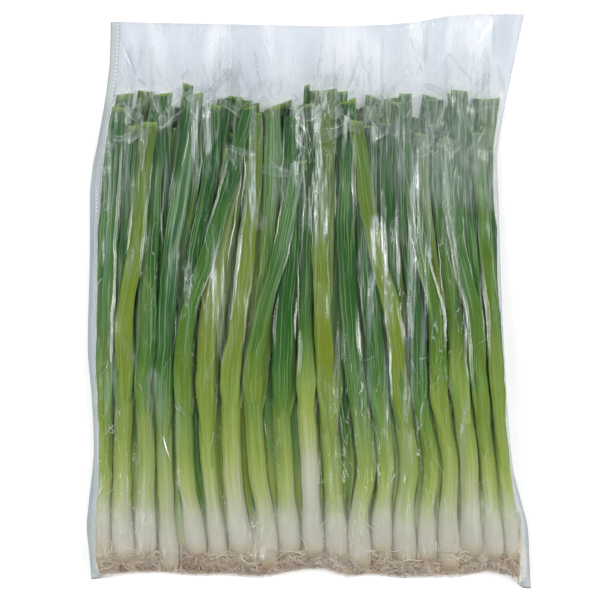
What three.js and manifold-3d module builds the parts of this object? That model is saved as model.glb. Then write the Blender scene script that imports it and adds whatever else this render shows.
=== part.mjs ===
// A bunch of spring onions lying flat in a clear film bag.
// Millimetres, +Z up, +Y towards the leaf tips, the bag's flat underside on z = 0.
import * as THREE from 'three';
import { mergeVertices } from 'three/addons/utils/BufferGeometryUtils.js';
import Module from 'manifold-3d';

// ---------------------------------------------------------------- driving dimensions
const FILM = 0.8;
const FLOOR = 1.3;
const CLEARANCE = 0.5;
const FILM_DROP = 1.2;
const SEAM_STEP = 5.4;
const SEAM_SHIFT = 0.5;
const ROOT_STEP = 4.4;
const SEAM_WIDTH = 2.6;
const SEAM_THICKNESS = 1.3;
const SEAM_HEIGHT = [[-200, 8], [-160, 4], [140, 4], [195, 2]];
const MOUTH_GAP = 1;
const HEADER_SLOPE = 0.6;
const FILM_COLUMNS = 20;
const FILM_ROWS = 18;
const REST_PANEL = [110, 160];

// The bag's edge: x against y along its sides, and y against x along its ends.
const LEFT_EDGE = [[-194, -149], [-150, -153], [-110, -150], [-60, -151], [0, -152], [70, -151],
  [105, -146], [150, -139], [194, -137]];
const RIGHT_EDGE = [[-200, 154], [-170, 153], [-120, 146], [-60, 141], [0, 138], [70, 135],
  [110, 133], [125, 136], [160, 144], [198, 150]];
const ROOT_EDGE = [[-149, -194], [-120, -190], [-90, -191], [-40, -192], [10, -187], [30, -190],
  [80, -192], [120, -190], [140, -194], [154, -200]];
const MOUTH_EDGE = [[-137, 193], [-60, 192], [10, 190], [60, 193], [105, 198], [150, 197]];

// The front onions from left to right: x at the bulb, up the stalk, low on the leaves and at the
// tips, and the bulb's radius.
const FRONT_ONIONS = [
  [-139, -138, -136, -130, 5.6],
  [-127, -129, -127, -121, 7.8],
  [-113, -108, -111, -107, 7.4],
  [-97, -100, -99, -79, 6.6],
  [-75, -88, -84, -60, 7.2],
  [-62, -70, -67, -46, 6.4],
  [-45, -54, -47, -26, 8.0],
  [-26, -38, -32, -14, 7.6],
  [-11, -18, -16, -5, 7.6],
  [5, 0, -1, 6, 7.6],
  [22, 14, 10, 15, 7.8],
  [39, 39, 28, 25, 7.8],
  [55, 52, 45, 37, 7.2],
  [72, 67, 59, 47, 8.0],
  [88, 82, 74, 59, 6.6],
  [102, 95, 88, 73, 7.6],
  [120, 109, 101, 86, 7.6],
  [133, 123, 114, 104, 6.4],
  [144, 133, 125, 115, 5.4],
];
const PATH_Y = [-170, -84, -10, 126];
// Front onions with one more leaf, lying over the others: [place in the row, drift at the tip, tip y].
const OVER_LEAVES = [[1, 14, 122], [4, 20, 134], [7, 15, 96], [10, -4, 130], [13, -17, 124],
  [15, -12, 136], [17, -15, 108]];
const BACK_COUNT = 21;
const BACK_BULB_RADIUS = [5.6, 6.8];

// Stations along the pack that every stalk and leaf bends at, and the depth of one row there.
const STATIONS = [-205, -150, -116, -62, -18, 30, 85, 150];
const ROW_DEPTH = [15.8, 15.6, 13.2, 13.0, 13.0, 12.0, 10.6, 9.0];
const PARTING = 3;
const LAYERS = 3;

const BULB_Y = [-173, -161];
const BULB_OUTLINE = [[-9, 0.34], [-6, 0.8], [2, 1], [16, 0.9]];
const NECK_ABOVE_BULB = 42;
const STALK_RADIUS = [5.9, 6.9];
const FORK_Y = [-104, -68];
const LEAF_ROOT = 14;
const TIP_Y = [102, 146];
const LEAF_HALF_WIDTH = [4.8, 7.4];
const OVER_LEAF_HALF_WIDTH = 6;
const LEAF_RADIUS = 1.9;
const TIP_RADIUS = 1.3;
const LEAF_LEAN = [[2, -4, 5], [-7, 6, 0]];
const LEAF_WANDER = 2.2;
const LEAF_BEND = 0.9;
const LEAF_SPARE = 0.5;
const SWELL = 0.1;
const ROOT_RADIUS = 1.1;
const ROOT_LENGTH = [5, 9];
const ROOT_FAN = 0.55;
const SEED = 71;

const TOP_STEP = 4;
const FRONT_SIDES = { stalk: 8, leaf: 6, leafTurn: 0, roots: 4 };
const BACK_SIDES = { stalk: 6, leaf: 4, leafTurn: Math.PI / 4, roots: 3 };

// Colours along an onion, from the root end to the leaf tips.
const ONION_COLOURS = [[-190, 0xa08468], [-180, 0xe9e6d6], [-150, 0xeceada], [-125, 0xc9d296],
  [-60, 0x93ad4f], [10, 0x5f8f3c], [150, 0x3e7234]];
const FILM_COLOUR = 0xe6ecf4;

// ---------------------------------------------------------------- numbers and curves
function makeRandom(seed) {
  let state = seed;
  return (low = 0, high = 1) => {
    state = (state * 1664525 + 1013904223) % 4294967296;
    return low + (high - low) * (state / 4294967296);
  };
}

const mix = (a, b, t) => a + (b - a) * t;
const clamp = (value, low, high) => Math.min(Math.max(value, low), high);

// Straight-line value of a list of [at, value] points.
function along(points, at) {
  let k = 0;
  while (k < points.length - 2 && points[k + 1][0] < at) {
    k += 1;
  }
  const [a, valueA] = points[k];
  const [b, valueB] = points[k + 1];
  return mix(valueA, valueB, clamp((at - a) / (b - a), 0, 1));
}

const atStations = (values, y) => along(values.map((value, k) => [STATIONS[k], value]), y);

// Smooth curve through values given at rising places (a cubic with finite-difference tangents).
function curve(places, values, at) {
  const last = places.length - 1;
  const slope = (i) => {
    const a = Math.max(i - 1, 0);
    const b = Math.min(i + 1, last);
    return (values[b] - values[a]) / (places[b] - places[a]);
  };
  if (at <= places[0]) {
    return values[0] + slope(0) * (at - places[0]);
  }
  if (at >= places[last]) {
    return values[last] + slope(last) * (at - places[last]);
  }
  let k = 0;
  while (places[k + 1] < at) {
    k += 1;
  }
  const span = places[k + 1] - places[k];
  const t = (at - places[k]) / span;
  const u = 1 - t;
  return values[k] * u * u * (1 + 2 * t) + slope(k) * span * t * u * u
    + values[k + 1] * t * t * (3 - 2 * t) - slope(k + 1) * span * t * t * u;
}

// ---------------------------------------------------------------- laying the bunch out
// Moves items, wanted at x and each reaching `half` to either side, just far enough apart to lie
// side by side in their order between left and right (pooled neighbours share their shift).
function spread(wanted, halves, left, right) {
  const total = halves.reduce((sum, half) => sum + 2 * half + CLEARANCE, 0);
  const squeeze = Math.min(1, (right - left) / total);
  const widths = halves.map((half) => squeeze * (2 * half + CLEARANCE));
  let edge = left;
  const shifts = widths.map((width, i) => {
    const shift = wanted[i] - (edge + width / 2);
    edge += width;
    return shift;
  });
  const pools = [];
  for (const shift of shifts) {
    pools.push({ mean: shift, count: 1 });
    while (pools.length > 1 && pools[pools.length - 2].mean > pools[pools.length - 1].mean) {
      const b = pools.pop();
      const a = pools.pop();
      const count = a.count + b.count;
      pools.push({ mean: (a.mean * a.count + b.mean * b.count) / count, count });
    }
  }
  const moved = pools.flatMap(({ mean, count }) => Array(count).fill(mean));
  edge = left;
  return widths.map((width, i) => {
    const x = edge + width / 2 + clamp(moved[i], 0, right - left - squeeze * total);
    edge += width;
    return { x, half: (width - CLEARANCE) / 2 };
  });
}

function spreadStation(items, y) {
  const reach = SEAM_STEP + SEAM_SHIFT + CLEARANCE;
  const left = along(LEFT_EDGE, y) + reach;
  const right = along(RIGHT_EDGE, y) - reach;
  return spread(items.map((item) => item.x), items.map((item) => item.half), left, right);
}

function drawOnion(path, bulbRadius, lean, sides, random) {
  const bulbY = random(...BULB_Y);
  const forkY = random(...FORK_Y);
  const stalkRadius = Math.min(random(...STALK_RADIUS), bulbRadius * 0.88);
  const leaves = [];
  for (let layer = 0; layer < LAYERS; layer += 1) {
    const wander = random(-LEAF_WANDER, LEAF_WANDER);
    const half = random(...LEAF_HALF_WIDTH);
    const tipY = random(...TIP_Y);
    const cut = random(-0.4, 0.4);
    leaves.push({ drift: lean[layer] + wander, half, tipY, cut, stations: [] });
  }
  return { path, bulbY, forkY, bulbRadius, stalkRadius, leaves, sides, stations: [] };
}

// How far up the leaves a place is, from 0 where they part to 1 at the highest tip.
const riseAt = (y) => clamp((y - STATIONS[PARTING]) / (TIP_Y[1] - STATIONS[PARTING]), 0, 1);

// Where a leaf would lie if its neighbours left it the room.
const leafStation = ({ drift, half }, wanted, y) => ({ x: wanted + drift * riseAt(y) ** LEAF_BEND, half });

// Lays one more leaf over the front row: it rises over its own stalk, then leans across its neighbours.
function addOverLeaf(onion, drift, tipY, base, random) {
  const below = onion.leaves[LAYERS - 1];
  const leaf = { drift, half: OVER_LEAF_HALF_WIDTH, tipY, cut: random(-0.4, 0.4), stations: [] };
  STATIONS.forEach((y, k) => {
    const under = below.stations[k];
    const risen = k > PARTING;
    const free = leafStation(leaf, curve(PATH_Y, onion.path, y), y);
    leaf.stations.push({
      x: k > PARTING + 1 ? free.x : under.x,
      half: Math.min(leaf.half, under.half),
      z: risen ? base[k] + (ROW_DEPTH[k] * (LAYERS + 0.5)) / LAYERS : under.z,
    });
  });
  onion.leaves.push(leaf);
}

// Places one row of onions: at each station the stalks lie side by side, and above the parting so
// do the leaves of each layer. At the parting the leaves still lie in their stalk's own width.
function placeRow(onions, base) {
  STATIONS.forEach((y, k) => {
    const wanted = onions.map((onion) => curve(PATH_Y, onion.path, y));
    const spare = k === PARTING ? LEAF_SPARE : 0;
    const stalkHalf = (onion) => (k < 2 ? onion.bulbRadius : onion.stalkRadius + spare);
    const wantedStalks = onions.map((onion, i) => ({ x: wanted[i], half: stalkHalf(onion) }));
    const stalks = spreadStation(wantedStalks, y);
    onions.forEach((onion, i) => onion.stations.push({ ...stalks[i], z: base[k] + stalks[i].half }));
    for (let layer = 0; layer < LAYERS; layer += 1) {
      const items = onions.map((onion, i) => leafStation(onion.leaves[layer], wanted[i], y));
      const placed = k <= PARTING ? stalks : spreadStation(items, y);
      const z = base[k] + (ROW_DEPTH[k] * (layer + 0.5)) / LAYERS;
      onions.forEach((onion, i) => onion.leaves[layer].stations.push({ ...placed[i], z }));
    }
  });
}

function planBunch() {
  const random = makeRandom(SEED);
  const flow = (column, share) => {
    const at = share * (FRONT_ONIONS.length - 1);
    const low = Math.min(Math.floor(at), FRONT_ONIONS.length - 2);
    return mix(FRONT_ONIONS[low][column], FRONT_ONIONS[low + 1][column], at - low);
  };
  const back = Array.from({ length: BACK_COUNT }, (_, n) => {
    const share = n / (BACK_COUNT - 1);
    const path = PATH_Y.map((_y, column) => flow(column, share));
    return drawOnion(path, random(...BACK_BULB_RADIUS), LEAF_LEAN[0], BACK_SIDES, random);
  });
  const front = FRONT_ONIONS.map((row) => {
    const path = row.slice(0, PATH_Y.length);
    return drawOnion(path, row[PATH_Y.length], LEAF_LEAN[1], FRONT_SIDES, random);
  });
  placeRow(back, STATIONS.map(() => FLOOR));
  const frontBase = ROW_DEPTH.map((depth) => FLOOR + depth);
  placeRow(front, frontBase);
  for (const [n, drift, tipY] of OVER_LEAVES) {
    addOverLeaf(front[n], drift, tipY, frontBase, random);
  }
  return [...back, ...front];
}

// The pack is a little thicker in some places than in others.
function swell(x, y, z) {
  const wave = Math.sin(x / 19 + 0.8) * 0.5 + Math.sin(y / 37 - x / 45) * 0.5;
  return z * (1 + SWELL * wave);
}

// ---------------------------------------------------------------- solids
const wasm = await Module();
wasm.setup();

function solidOf(geometry) {
  const bare = geometry.clone();
  bare.deleteAttribute('normal');
  bare.deleteAttribute('uv');
  const merged = mergeVertices(bare, 1e-4);
  const vertProperties = new Float32Array(merged.attributes.position.array);
  const triVerts = new Uint32Array(merged.index.array);
  return new wasm.Manifold(new wasm.Mesh({ numProp: 3, vertProperties, triVerts }));
}

function geometryOf(solid) {
  const mesh = solid.getMesh();
  const geometry = new THREE.BufferGeometry();
  geometry.setAttribute('position', new THREE.BufferAttribute(new Float32Array(mesh.vertProperties), 3));
  geometry.setIndex(new THREE.BufferAttribute(new Uint32Array(mesh.triVerts), 1));
  geometry.computeVertexNormals();
  return geometry;
}

// A closed body through rings of equally many points, each ring turning from +X towards +Z.
function loft(rings) {
  const sides = rings[0].length;
  const positions = rings.flat(2);
  const index = [];
  for (let r = 0; r < rings.length - 1; r += 1) {
    for (let s = 0; s < sides; s += 1) {
      const a = r * sides + s;
      const b = r * sides + ((s + 1) % sides);
      index.push(a, a + sides, b, b, a + sides, b + sides);
    }
  }
  const lastRing = (rings.length - 1) * sides;
  for (let s = 1; s < sides - 1; s += 1) {
    index.push(0, s, s + 1);
    index.push(lastRing, lastRing + s + 1, lastRing + s);
  }
  const geometry = new THREE.BufferGeometry();
  geometry.setAttribute('position', new THREE.Float32BufferAttribute(positions, 3));
  geometry.setIndex(index);
  return geometry;
}

// A flat-sided round ring: `half` is its whole reach to either side.
function ring({ x, y, z, half, radius }, sides, turn) {
  const points = [];
  for (let s = 0; s < sides; s += 1) {
    const angle = turn + (2 * Math.PI * s) / sides;
    const across = Math.sign(Math.cos(angle)) * (half - radius) + radius * Math.cos(angle);
    const px = x + across;
    points.push([px, y, swell(px, y, z + radius * Math.sin(angle))]);
  }
  return points;
}

function stalkSolid(onion) {
  const { bulbY, forkY, bulbRadius, stalkRadius, sides } = onion;
  const at = (key, y) => atStations(onion.stations.map((station) => station[key]), y);
  const bulb = BULB_OUTLINE.map(([up, share]) => [bulbY + up, bulbRadius * share, bulbRadius * share]);
  const outline = [
    ...bulb,
    [bulbY + NECK_ABOVE_BULB, stalkRadius, stalkRadius],
    [forkY, stalkRadius, stalkRadius * 0.84],
    [STATIONS[PARTING] + 2, stalkRadius * 0.6, stalkRadius * 0.3],
  ];
  const rings = outline.map(([y, half, radius]) => {
    const fit = Math.min(1, at('half', y) / half);
    const middle = { x: at('x', y), y, z: at('z', y) };
    return ring({ ...middle, half: half * fit, radius: radius * fit }, sides.stalk, Math.PI / sides.stalk);
  });
  return solidOf(loft(rings));
}

function leafSolid(onion, leaf) {
  const { forkY, sides } = onion;
  const at = (key, y) => atStations(leaf.stations.map((station) => station[key]), y);
  const stalkZ = atStations(onion.stations.map((station) => station.z), forkY - LEAF_ROOT);
  const radiusAt = (y) => mix(LEAF_RADIUS, TIP_RADIUS, riseAt(y));
  const rootY = forkY - LEAF_ROOT;
  const root = { x: at('x', rootY), y: rootY, z: mix(stalkZ, at('z', rootY), 0.4), half: 2.4, radius: 1.4 };
  const places = [...STATIONS.filter((y, k) => k >= PARTING && y < leaf.tipY - 8), leaf.tipY];
  const rings = places.map((y) => {
    const half = at('half', y) * (y === leaf.tipY ? 0.86 : 1);
    return ring({ x: at('x', y), y, z: at('z', y), half, radius: radiusAt(y) }, sides.leaf, sides.leafTurn);
  });
  slantEnd(rings, leaf.cut);
  return solidOf(loft([ring(root, sides.leaf, sides.leafTurn), ...rings]));
}

// Cuts the last ring back aslant, along the sides of the leaf, so that its surface stays the same.
function slantEnd(rings, cut) {
  const last = rings[rings.length - 1];
  const before = rings[rings.length - 2];
  const middle = (last[0][0] + last[last.length / 2][0]) / 2;
  const reach = Math.abs(last[0][0] - middle);
  last.forEach((point, s) => {
    const length = point[1] - before[s][1];
    const back = Math.abs(cut) * reach - cut * (point[0] - middle);
    const t = 1 - back / length;
    last[s] = point.map((value, axis) => mix(before[s][axis], value, t));
  });
}

function rootSolid(onion, n, random) {
  const y = onion.bulbY + BULB_OUTLINE[0][0];
  const x = atStations(onion.stations.map((station) => station.x), y);
  const z = atStations(onion.stations.map((station) => station.z), y);
  const turn = (2 * Math.PI * (n + random(-0.2, 0.2))) / onion.sides.roots;
  const room = y - along(ROOT_EDGE, x) - ROOT_STEP - SEAM_SHIFT - CLEARANCE;
  const length = Math.min(random(...ROOT_LENGTH), room);
  const start = new THREE.Vector3(x + 1.2 * Math.cos(turn), y + 2.5, z + 1.2 * Math.sin(turn));
  const heading = new THREE.Vector3(ROOT_FAN * Math.cos(turn), -1, ROOT_FAN * Math.sin(turn)).normalize();
  const cone = new THREE.ConeGeometry(ROOT_RADIUS, length + 2.5, 3, 1);
  cone.translate(0, (length + 2.5) / 2, 0);
  cone.applyQuaternion(new THREE.Quaternion().setFromUnitVectors(new THREE.Vector3(0, 1, 0), heading));
  cone.translate(start.x, start.y, swell(start.x, start.y, start.z));
  return solidOf(cone);
}

function onionGeometry(onion, random) {
  let solid = stalkSolid(onion);
  for (const leaf of onion.leaves) {
    solid = solid.add(leafSolid(onion, leaf));
  }
  for (let n = 0; n < onion.sides.roots; n += 1) {
    solid = solid.add(rootSolid(onion, n, random));
  }
  return geometryOf(solid);
}

// ---------------------------------------------------------------- the film bag
// Tops of everything in the bag, as stretches that the film has to clear.
function packTops(onions) {
  const tops = [];
  const addTop = (x, y, z, half, radius) => tops.push({ x, y, half, top: swell(x, y, z + radius) });
  for (const onion of onions) {
    for (let y = onion.bulbY + BULB_OUTLINE[0][0] - ROOT_LENGTH[1]; y < onion.forkY; y += TOP_STEP) {
      const at = (key) => atStations(onion.stations.map((station) => station[key]), y);
      addTop(at('x'), y, at('z'), at('half'), at('half'));
    }
    for (const leaf of onion.leaves) {
      for (let y = onion.forkY; y < leaf.tipY + TOP_STEP; y += TOP_STEP) {
        const at = (key) => atStations(leaf.stations.map((station) => station[key]), y);
        addTop(at('x'), y, at('z'), at('half'), LEAF_RADIUS);
      }
    }
  }
  return tops;
}

function filmGrid() {
  const spaced = (low, high, step, count, k) => {
    if (k === 0) {
      return low;
    }
    return k === count ? high : mix(low + step, high - step, (k - 1) / (count - 2));
  };
  const grid = [];
  for (let v = 0; v <= FILM_ROWS; v += 1) {
    grid.push([]);
    for (let u = 0; u <= FILM_COLUMNS; u += 1) {
      let x = mix(LEFT_EDGE[0][1], RIGHT_EDGE[0][1], u / FILM_COLUMNS);
      let y = 0;
      for (let pass = 0; pass < 4; pass += 1) {
        y = spaced(along(ROOT_EDGE, x), along(MOUTH_EDGE, x), ROOT_STEP, FILM_ROWS, v);
        x = spaced(along(LEFT_EDGE, y), along(RIGHT_EDGE, y), SEAM_STEP, FILM_COLUMNS, u);
      }
      grid[v].push({ x, y });
    }
  }
  return grid;
}

// Heights of the upper film: above everything within a mesh of each point, and sloping down to the mouth.
function filmHeights(grid, onions) {
  const tops = packTops(onions);
  const heights = grid.map((row, v) => row.map((point, u) => {
    const low = along(SEAM_HEIGHT, point.y) + SEAM_THICKNESS;
    if (u === 0 || u === FILM_COLUMNS || v === 0) {
      return low;
    }
    if (v === FILM_ROWS) {
      return along(SEAM_HEIGHT, point.y) + FILM + MOUTH_GAP + FILM_DROP;
    }
    const left = row[u - 1].x;
    const right = row[u + 1].x;
    const near = grid[v - 1][u].y - TOP_STEP;
    const far = grid[v + 1][u].y + TOP_STEP;
    let height = low + MOUTH_GAP + FILM_DROP;
    for (const { x, y, half, top } of tops) {
      if (y > near && y < far && x + half > left && x - half < right) {
        height = Math.max(height, top + CLEARANCE + FILM_DROP);
      }
    }
    return height;
  }));
  for (let v = 1; v < FILM_ROWS; v += 1) {
    for (let u = 1; u < FILM_COLUMNS; u += 1) {
      const fall = HEADER_SLOPE * (grid[v][u].y - grid[v - 1][u].y);
      heights[v][u] = Math.max(heights[v][u], v > 1 ? heights[v - 1][u] - fall : 0);
    }
  }
  return heights;
}

// One closed body: the upper and lower film are joined along three edges, and their lips lie a
// little apart along the mouth.
function bagGeometry(onions) {
  const [columns, rows] = [FILM_COLUMNS, FILM_ROWS];
  const grid = filmGrid();
  const heights = filmHeights(grid, onions);
  const positions = [];
  const index = [];
  const addPoint = (x, y, z) => positions.push(x, y, z) / 3 - 1;
  const addQuad = (a, b, c, d) => {
    if (a !== b && b !== c && c !== a) {
      index.push(a, b, c);
    }
    if (a !== c && c !== d && d !== a) {
      index.push(a, c, d);
    }
  };
  const onSeam = (u, v) => u === 0 || u === columns || v === 0;
  const inward = (u, v) => {
    const { x, y } = grid[v][u];
    const depth = onSeam(u, v) ? SEAM_WIDTH : SEAM_SHIFT;
    const across = (u <= 1 ? depth : 0) - (u >= columns - 1 ? depth : 0);
    const up = v === 0 ? SEAM_WIDTH : (v === 1 ? SEAM_SHIFT : 0);
    return [x + across, y + up];
  };
  const outerTop = grid.map((row, v) => row.map(({ x, y }, u) => addPoint(x, y, heights[v][u])));
  const seam = grid.map((row, v) => row.map((point, u) => (onSeam(u, v)
    ? addPoint(...inward(u, v), along(SEAM_HEIGHT, point.y) + SEAM_THICKNESS / 2) : -1)));
  const innerTop = grid.map((row, v) => row.map((point, u) => (onSeam(u, v)
    ? seam[v][u] : addPoint(...inward(u, v), heights[v][u] - FILM_DROP))));
  for (let v = 0; v < rows; v += 1) {
    for (let u = 0; u < columns; u += 1) {
      addQuad(outerTop[v][u], outerTop[v][u + 1], outerTop[v + 1][u + 1], outerTop[v + 1][u]);
      addQuad(innerTop[v][u], innerTop[v + 1][u], innerTop[v + 1][u + 1], innerTop[v][u + 1]);
    }
  }
  const around = [];
  for (let u = 0; u < columns; u += 1) {
    around.push([u, 0]);
  }
  for (let v = 0; v < rows; v += 1) {
    around.push([columns, v]);
  }
  for (let u = columns; u > 0; u -= 1) {
    around.push([u, rows]);
  }
  for (let v = rows; v > 0; v -= 1) {
    around.push([0, v]);
  }
  const within = ([u, v]) => [clamp(u, 1, columns - 1), clamp(v, 1, rows - 1)];
  const rimPoint = ([u, v], up) => {
    const { x, y } = grid[v][u];
    return addPoint(x, y, along(SEAM_HEIGHT, y) + up);
  };
  const outerRim = around.map((place) => rimPoint(place, 0));
  const innerRim = around.map(([u, v]) => (onSeam(u, v) ? seam[v][u] : rimPoint([u, v], FILM)));
  const flatPoints = new Map();
  const flatPoint = (place, z) => {
    const [u, v] = within(place);
    const key = `${u} ${v} ${z}`;
    if (!flatPoints.has(key)) {
      const [x, y] = z === 0 ? [grid[v][u].x, grid[v][u].y] : inward(u, v);
      flatPoints.set(key, addPoint(x, y, z));
    }
    return flatPoints.get(key);
  };
  around.forEach((place, i) => {
    const next = (i + 1) % around.length;
    const after = around[next];
    addQuad(outerRim[i], flatPoint(place, 0), flatPoint(after, 0), outerRim[next]);
    addQuad(innerRim[i], innerRim[next], flatPoint(after, FILM), flatPoint(place, FILM));
    const top = ([u, v]) => outerTop[v][u];
    const lip = ([u, v]) => innerTop[v][u];
    if (place[1] === rows && after[1] === rows) {
      addQuad(lip(after), top(after), top(place), lip(place));
      addQuad(outerRim[next], innerRim[next], innerRim[i], outerRim[i]);
    } else {
      addQuad(outerRim[i], outerRim[next], top(after), top(place));
    }
  });
  const rightLip = around.findIndex(([u, v]) => u === columns && v === rows);
  const leftLip = around.findIndex(([u, v]) => u === 0 && v === rows);
  index.push(outerRim[rightLip], seam[rows][columns], outerTop[rows][columns]);
  index.push(outerRim[leftLip], outerTop[rows][0], seam[rows][0]);
  for (const z of [0, FILM]) {
    const [halfX, halfY] = REST_PANEL;
    const panelCorners = [[-halfX, -halfY], [-halfX, halfY], [halfX, halfY], [halfX, -halfY]];
    const panel = panelCorners.map(([x, y]) => addPoint(x, y, z));
    const edge = [...new Set(around.map((place) => flatPoint(place, z)))];
    const toVector = (p) => new THREE.Vector2(positions[3 * p], positions[3 * p + 1]);
    const all = [...edge, ...panel];
    const triangles = THREE.ShapeUtils.triangulateShape(edge.map(toVector), [panel.map(toVector)])
      .map((corners) => corners.map((corner) => all[corner]));
    triangles.push([panel[0], panel[2], panel[1]], [panel[0], panel[3], panel[2]]);
    for (const corners of triangles) {
      index.push(...(z === 0 ? corners.reverse() : corners));
    }
  }
  const geometry = new THREE.BufferGeometry();
  geometry.setAttribute('position', new THREE.Float32BufferAttribute(positions, 3));
  geometry.setIndex(index);
  geometry.computeVertexNormals();
  return geometry;
}

// ---------------------------------------------------------------- the assembly
function paintAlong(geometry) {
  const places = ONION_COLOURS.map(([y]) => y);
  const colours = ONION_COLOURS.map(([, colour]) => new THREE.Color(colour));
  const points = geometry.attributes.position;
  const painted = new Float32Array(points.count * 3);
  for (let i = 0; i < points.count; i += 1) {
    ['r', 'g', 'b'].forEach((channel, c) => {
      painted[3 * i + c] = along(places.map((y, k) => [y, colours[k][channel]]), points.getY(i));
    });
  }
  geometry.setAttribute('color', new THREE.BufferAttribute(painted, 3));
}

function onionMesh(onion, name, random) {
  const geometry = onionGeometry(onion, random);
  paintAlong(geometry);
  const material = new THREE.MeshStandardMaterial({ vertexColors: true, roughness: 0.45, metalness: 0 });
  const mesh = new THREE.Mesh(geometry, material);
  mesh.name = name;
  return mesh;
}

function bagMesh(onions) {
  const material = new THREE.MeshStandardMaterial({ color: FILM_COLOUR, roughness: 0.15, metalness: 0 });
  material.transparent = true;
  material.opacity = 0.3;
  const mesh = new THREE.Mesh(bagGeometry(onions), material);
  mesh.name = 'bag';
  return mesh;
}

const pack = new THREE.Group();
const onions = planBunch();
const rootRandom = makeRandom(SEED + 1);
onions.forEach((onion, n) => {
  pack.add(onionMesh(onion, `onion_${String(n + 1).padStart(2, '0')}`, rootRandom));
});
const bag = bagMesh(onions);
pack.add(bag);

// The origin is under the middle of the bag.
const middle = new THREE.Box3().setFromObject(bag).getCenter(new THREE.Vector3());
pack.position.set(-middle.x, -middle.y, 0);

export default pack;
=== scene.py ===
"""A bunch of spring onions lying flat in a clear film bag.

The bunch is laid out in millimetres by the same rule as the part's solids, with the floor at z = 0
and +Y towards the leaf tips. Meshes are made in metres in the part's frame.
"""
import logging
import math
from dataclasses import dataclass, field
from enum import Enum
from functools import reduce

import bpy
import numpy as np
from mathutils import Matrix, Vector


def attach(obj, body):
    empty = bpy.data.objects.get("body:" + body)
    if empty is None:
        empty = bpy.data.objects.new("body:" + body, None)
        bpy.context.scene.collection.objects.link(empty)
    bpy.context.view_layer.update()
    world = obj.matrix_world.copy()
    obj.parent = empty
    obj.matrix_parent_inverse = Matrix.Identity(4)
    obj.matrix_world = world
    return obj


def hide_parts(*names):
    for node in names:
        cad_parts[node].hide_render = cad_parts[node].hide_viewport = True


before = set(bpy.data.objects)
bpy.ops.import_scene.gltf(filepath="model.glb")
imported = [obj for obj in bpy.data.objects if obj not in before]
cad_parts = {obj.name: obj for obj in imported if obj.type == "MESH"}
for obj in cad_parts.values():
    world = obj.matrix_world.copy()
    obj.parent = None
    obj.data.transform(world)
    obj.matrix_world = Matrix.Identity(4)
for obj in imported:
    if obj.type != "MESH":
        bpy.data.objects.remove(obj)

LOG = logging.getLogger("spring_onions")
MM = 0.001
BODY = "root"
FAR = 90.0
FOLD_STEP = 2.4
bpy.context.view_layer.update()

Array = np.ndarray
Points = list[tuple[float, float]]
Socket = bpy.types.NodeSocket


# ---------------------------------------------------------------- numbers and curves
class Draws:
    """Repeatable random numbers, drawn in the same order as the part's source draws them."""

    def __init__(self, seed: int) -> None:
        """Starts the row of draws at a whole number."""
        self.state = seed

    def between(self, low: float, high: float) -> float:
        """Draws the next number between low and high."""
        self.state = (self.state * 1664525 + 1013904223) % 4294967296
        return low + (high - low) * (self.state / 4294967296)


def mix(a: float, b: float, t: float) -> float:
    """Goes from a to b as t goes from 0 to 1."""
    return a + (b - a) * t


def ease(share: Array) -> Array:
    """Lets a change from 0 to 1 start and end gently."""
    return share * share * (3 - 2 * share)


def along(points: Points, at: float) -> float:
    """Reads a straight-line graph of (place, value) pairs, held at its first and last value."""
    return float(np.interp(at, [p[0] for p in points], [p[1] for p in points]))


def cubic(a: Array, b: Array, slope_a: Array, slope_b: Array, span: Array, t: Array) -> Array:
    """Goes smoothly from one value to the next.

    Args:
        a: The first value.
        b: The second value.
        slope_a: The slope at the first value.
        slope_b: The slope at the second value.
        span: How far apart the two are.
        t: The share of the span to read at.

    Returns:
        The value there.
    """
    u = 1 - t
    return (a * u * u * (1 + 2 * t) + slope_a * span * t * u * u
            + b * t * t * (3 - 2 * t) - slope_b * span * t * t * u)


def curve(places: list[float], values: list[float], at: float) -> float:
    """Reads a smooth cubic curve that runs on straight beyond its ends.

    Args:
        places: Rising places.
        values: The value at each place.
        at: The place to read.

    Returns:
        The curve's value there.
    """
    last = len(places) - 1

    def slope(i: int) -> float:
        """Gives the slope at one of the places."""
        a, b = max(i - 1, 0), min(i + 1, last)
        return (values[b] - values[a]) / (places[b] - places[a])

    if at <= places[0]:
        return values[0] + slope(0) * (at - places[0])
    if at >= places[last]:
        return values[last] + slope(last) * (at - places[last])
    k = 0
    while places[k + 1] < at:
        k += 1
    span = places[k + 1] - places[k]
    return cubic(values[k], values[k + 1], slope(k), slope(k + 1), span, (at - places[k]) / span)


def flow(places: Array, values: Array, at: Array) -> Array:
    """Reads a smooth curve that never swings past the values it goes through.

    Args:
        places: Rising places.
        values: The value at each place.
        at: The places to read, held between the first and the last.

    Returns:
        The curve's values.
    """
    places, values = np.asarray(places, float), np.asarray(values, float)
    at = np.clip(at, places[0], places[-1])
    steps = np.diff(values) / np.diff(places)
    slopes = np.concatenate([steps[:1], np.zeros(len(values) - 2), steps[-1:]])
    before, after = steps[:-1], steps[1:]
    same = before * after > 0
    slopes[1:-1][same] = 2 * before[same] * after[same] / (before[same] + after[same])
    k = np.clip(np.searchsorted(places, at) - 1, 0, len(places) - 2)
    span = places[k + 1] - places[k]
    return cubic(values[k], values[k + 1], slopes[k], slopes[k + 1], span, (at - places[k]) / span)


def wander(dice: np.random.Generator, at: Array, wavelength: float) -> Array:
    """Makes a slow irregular wave between about -1 and 1.

    Args:
        dice: Where its phases come from.
        at: Places along the wave, in millimetres.
        wavelength: Length of its main swing, in millimetres.

    Returns:
        The wave at each place.
    """
    wave = np.zeros_like(at, dtype=float)
    for share, strength in ((1.0, 0.55), (0.47, 0.3), (0.21, 0.15)):
        wave += strength * np.sin(2 * math.pi * (at / (wavelength * share) + dice.random()))
    return wave


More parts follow.
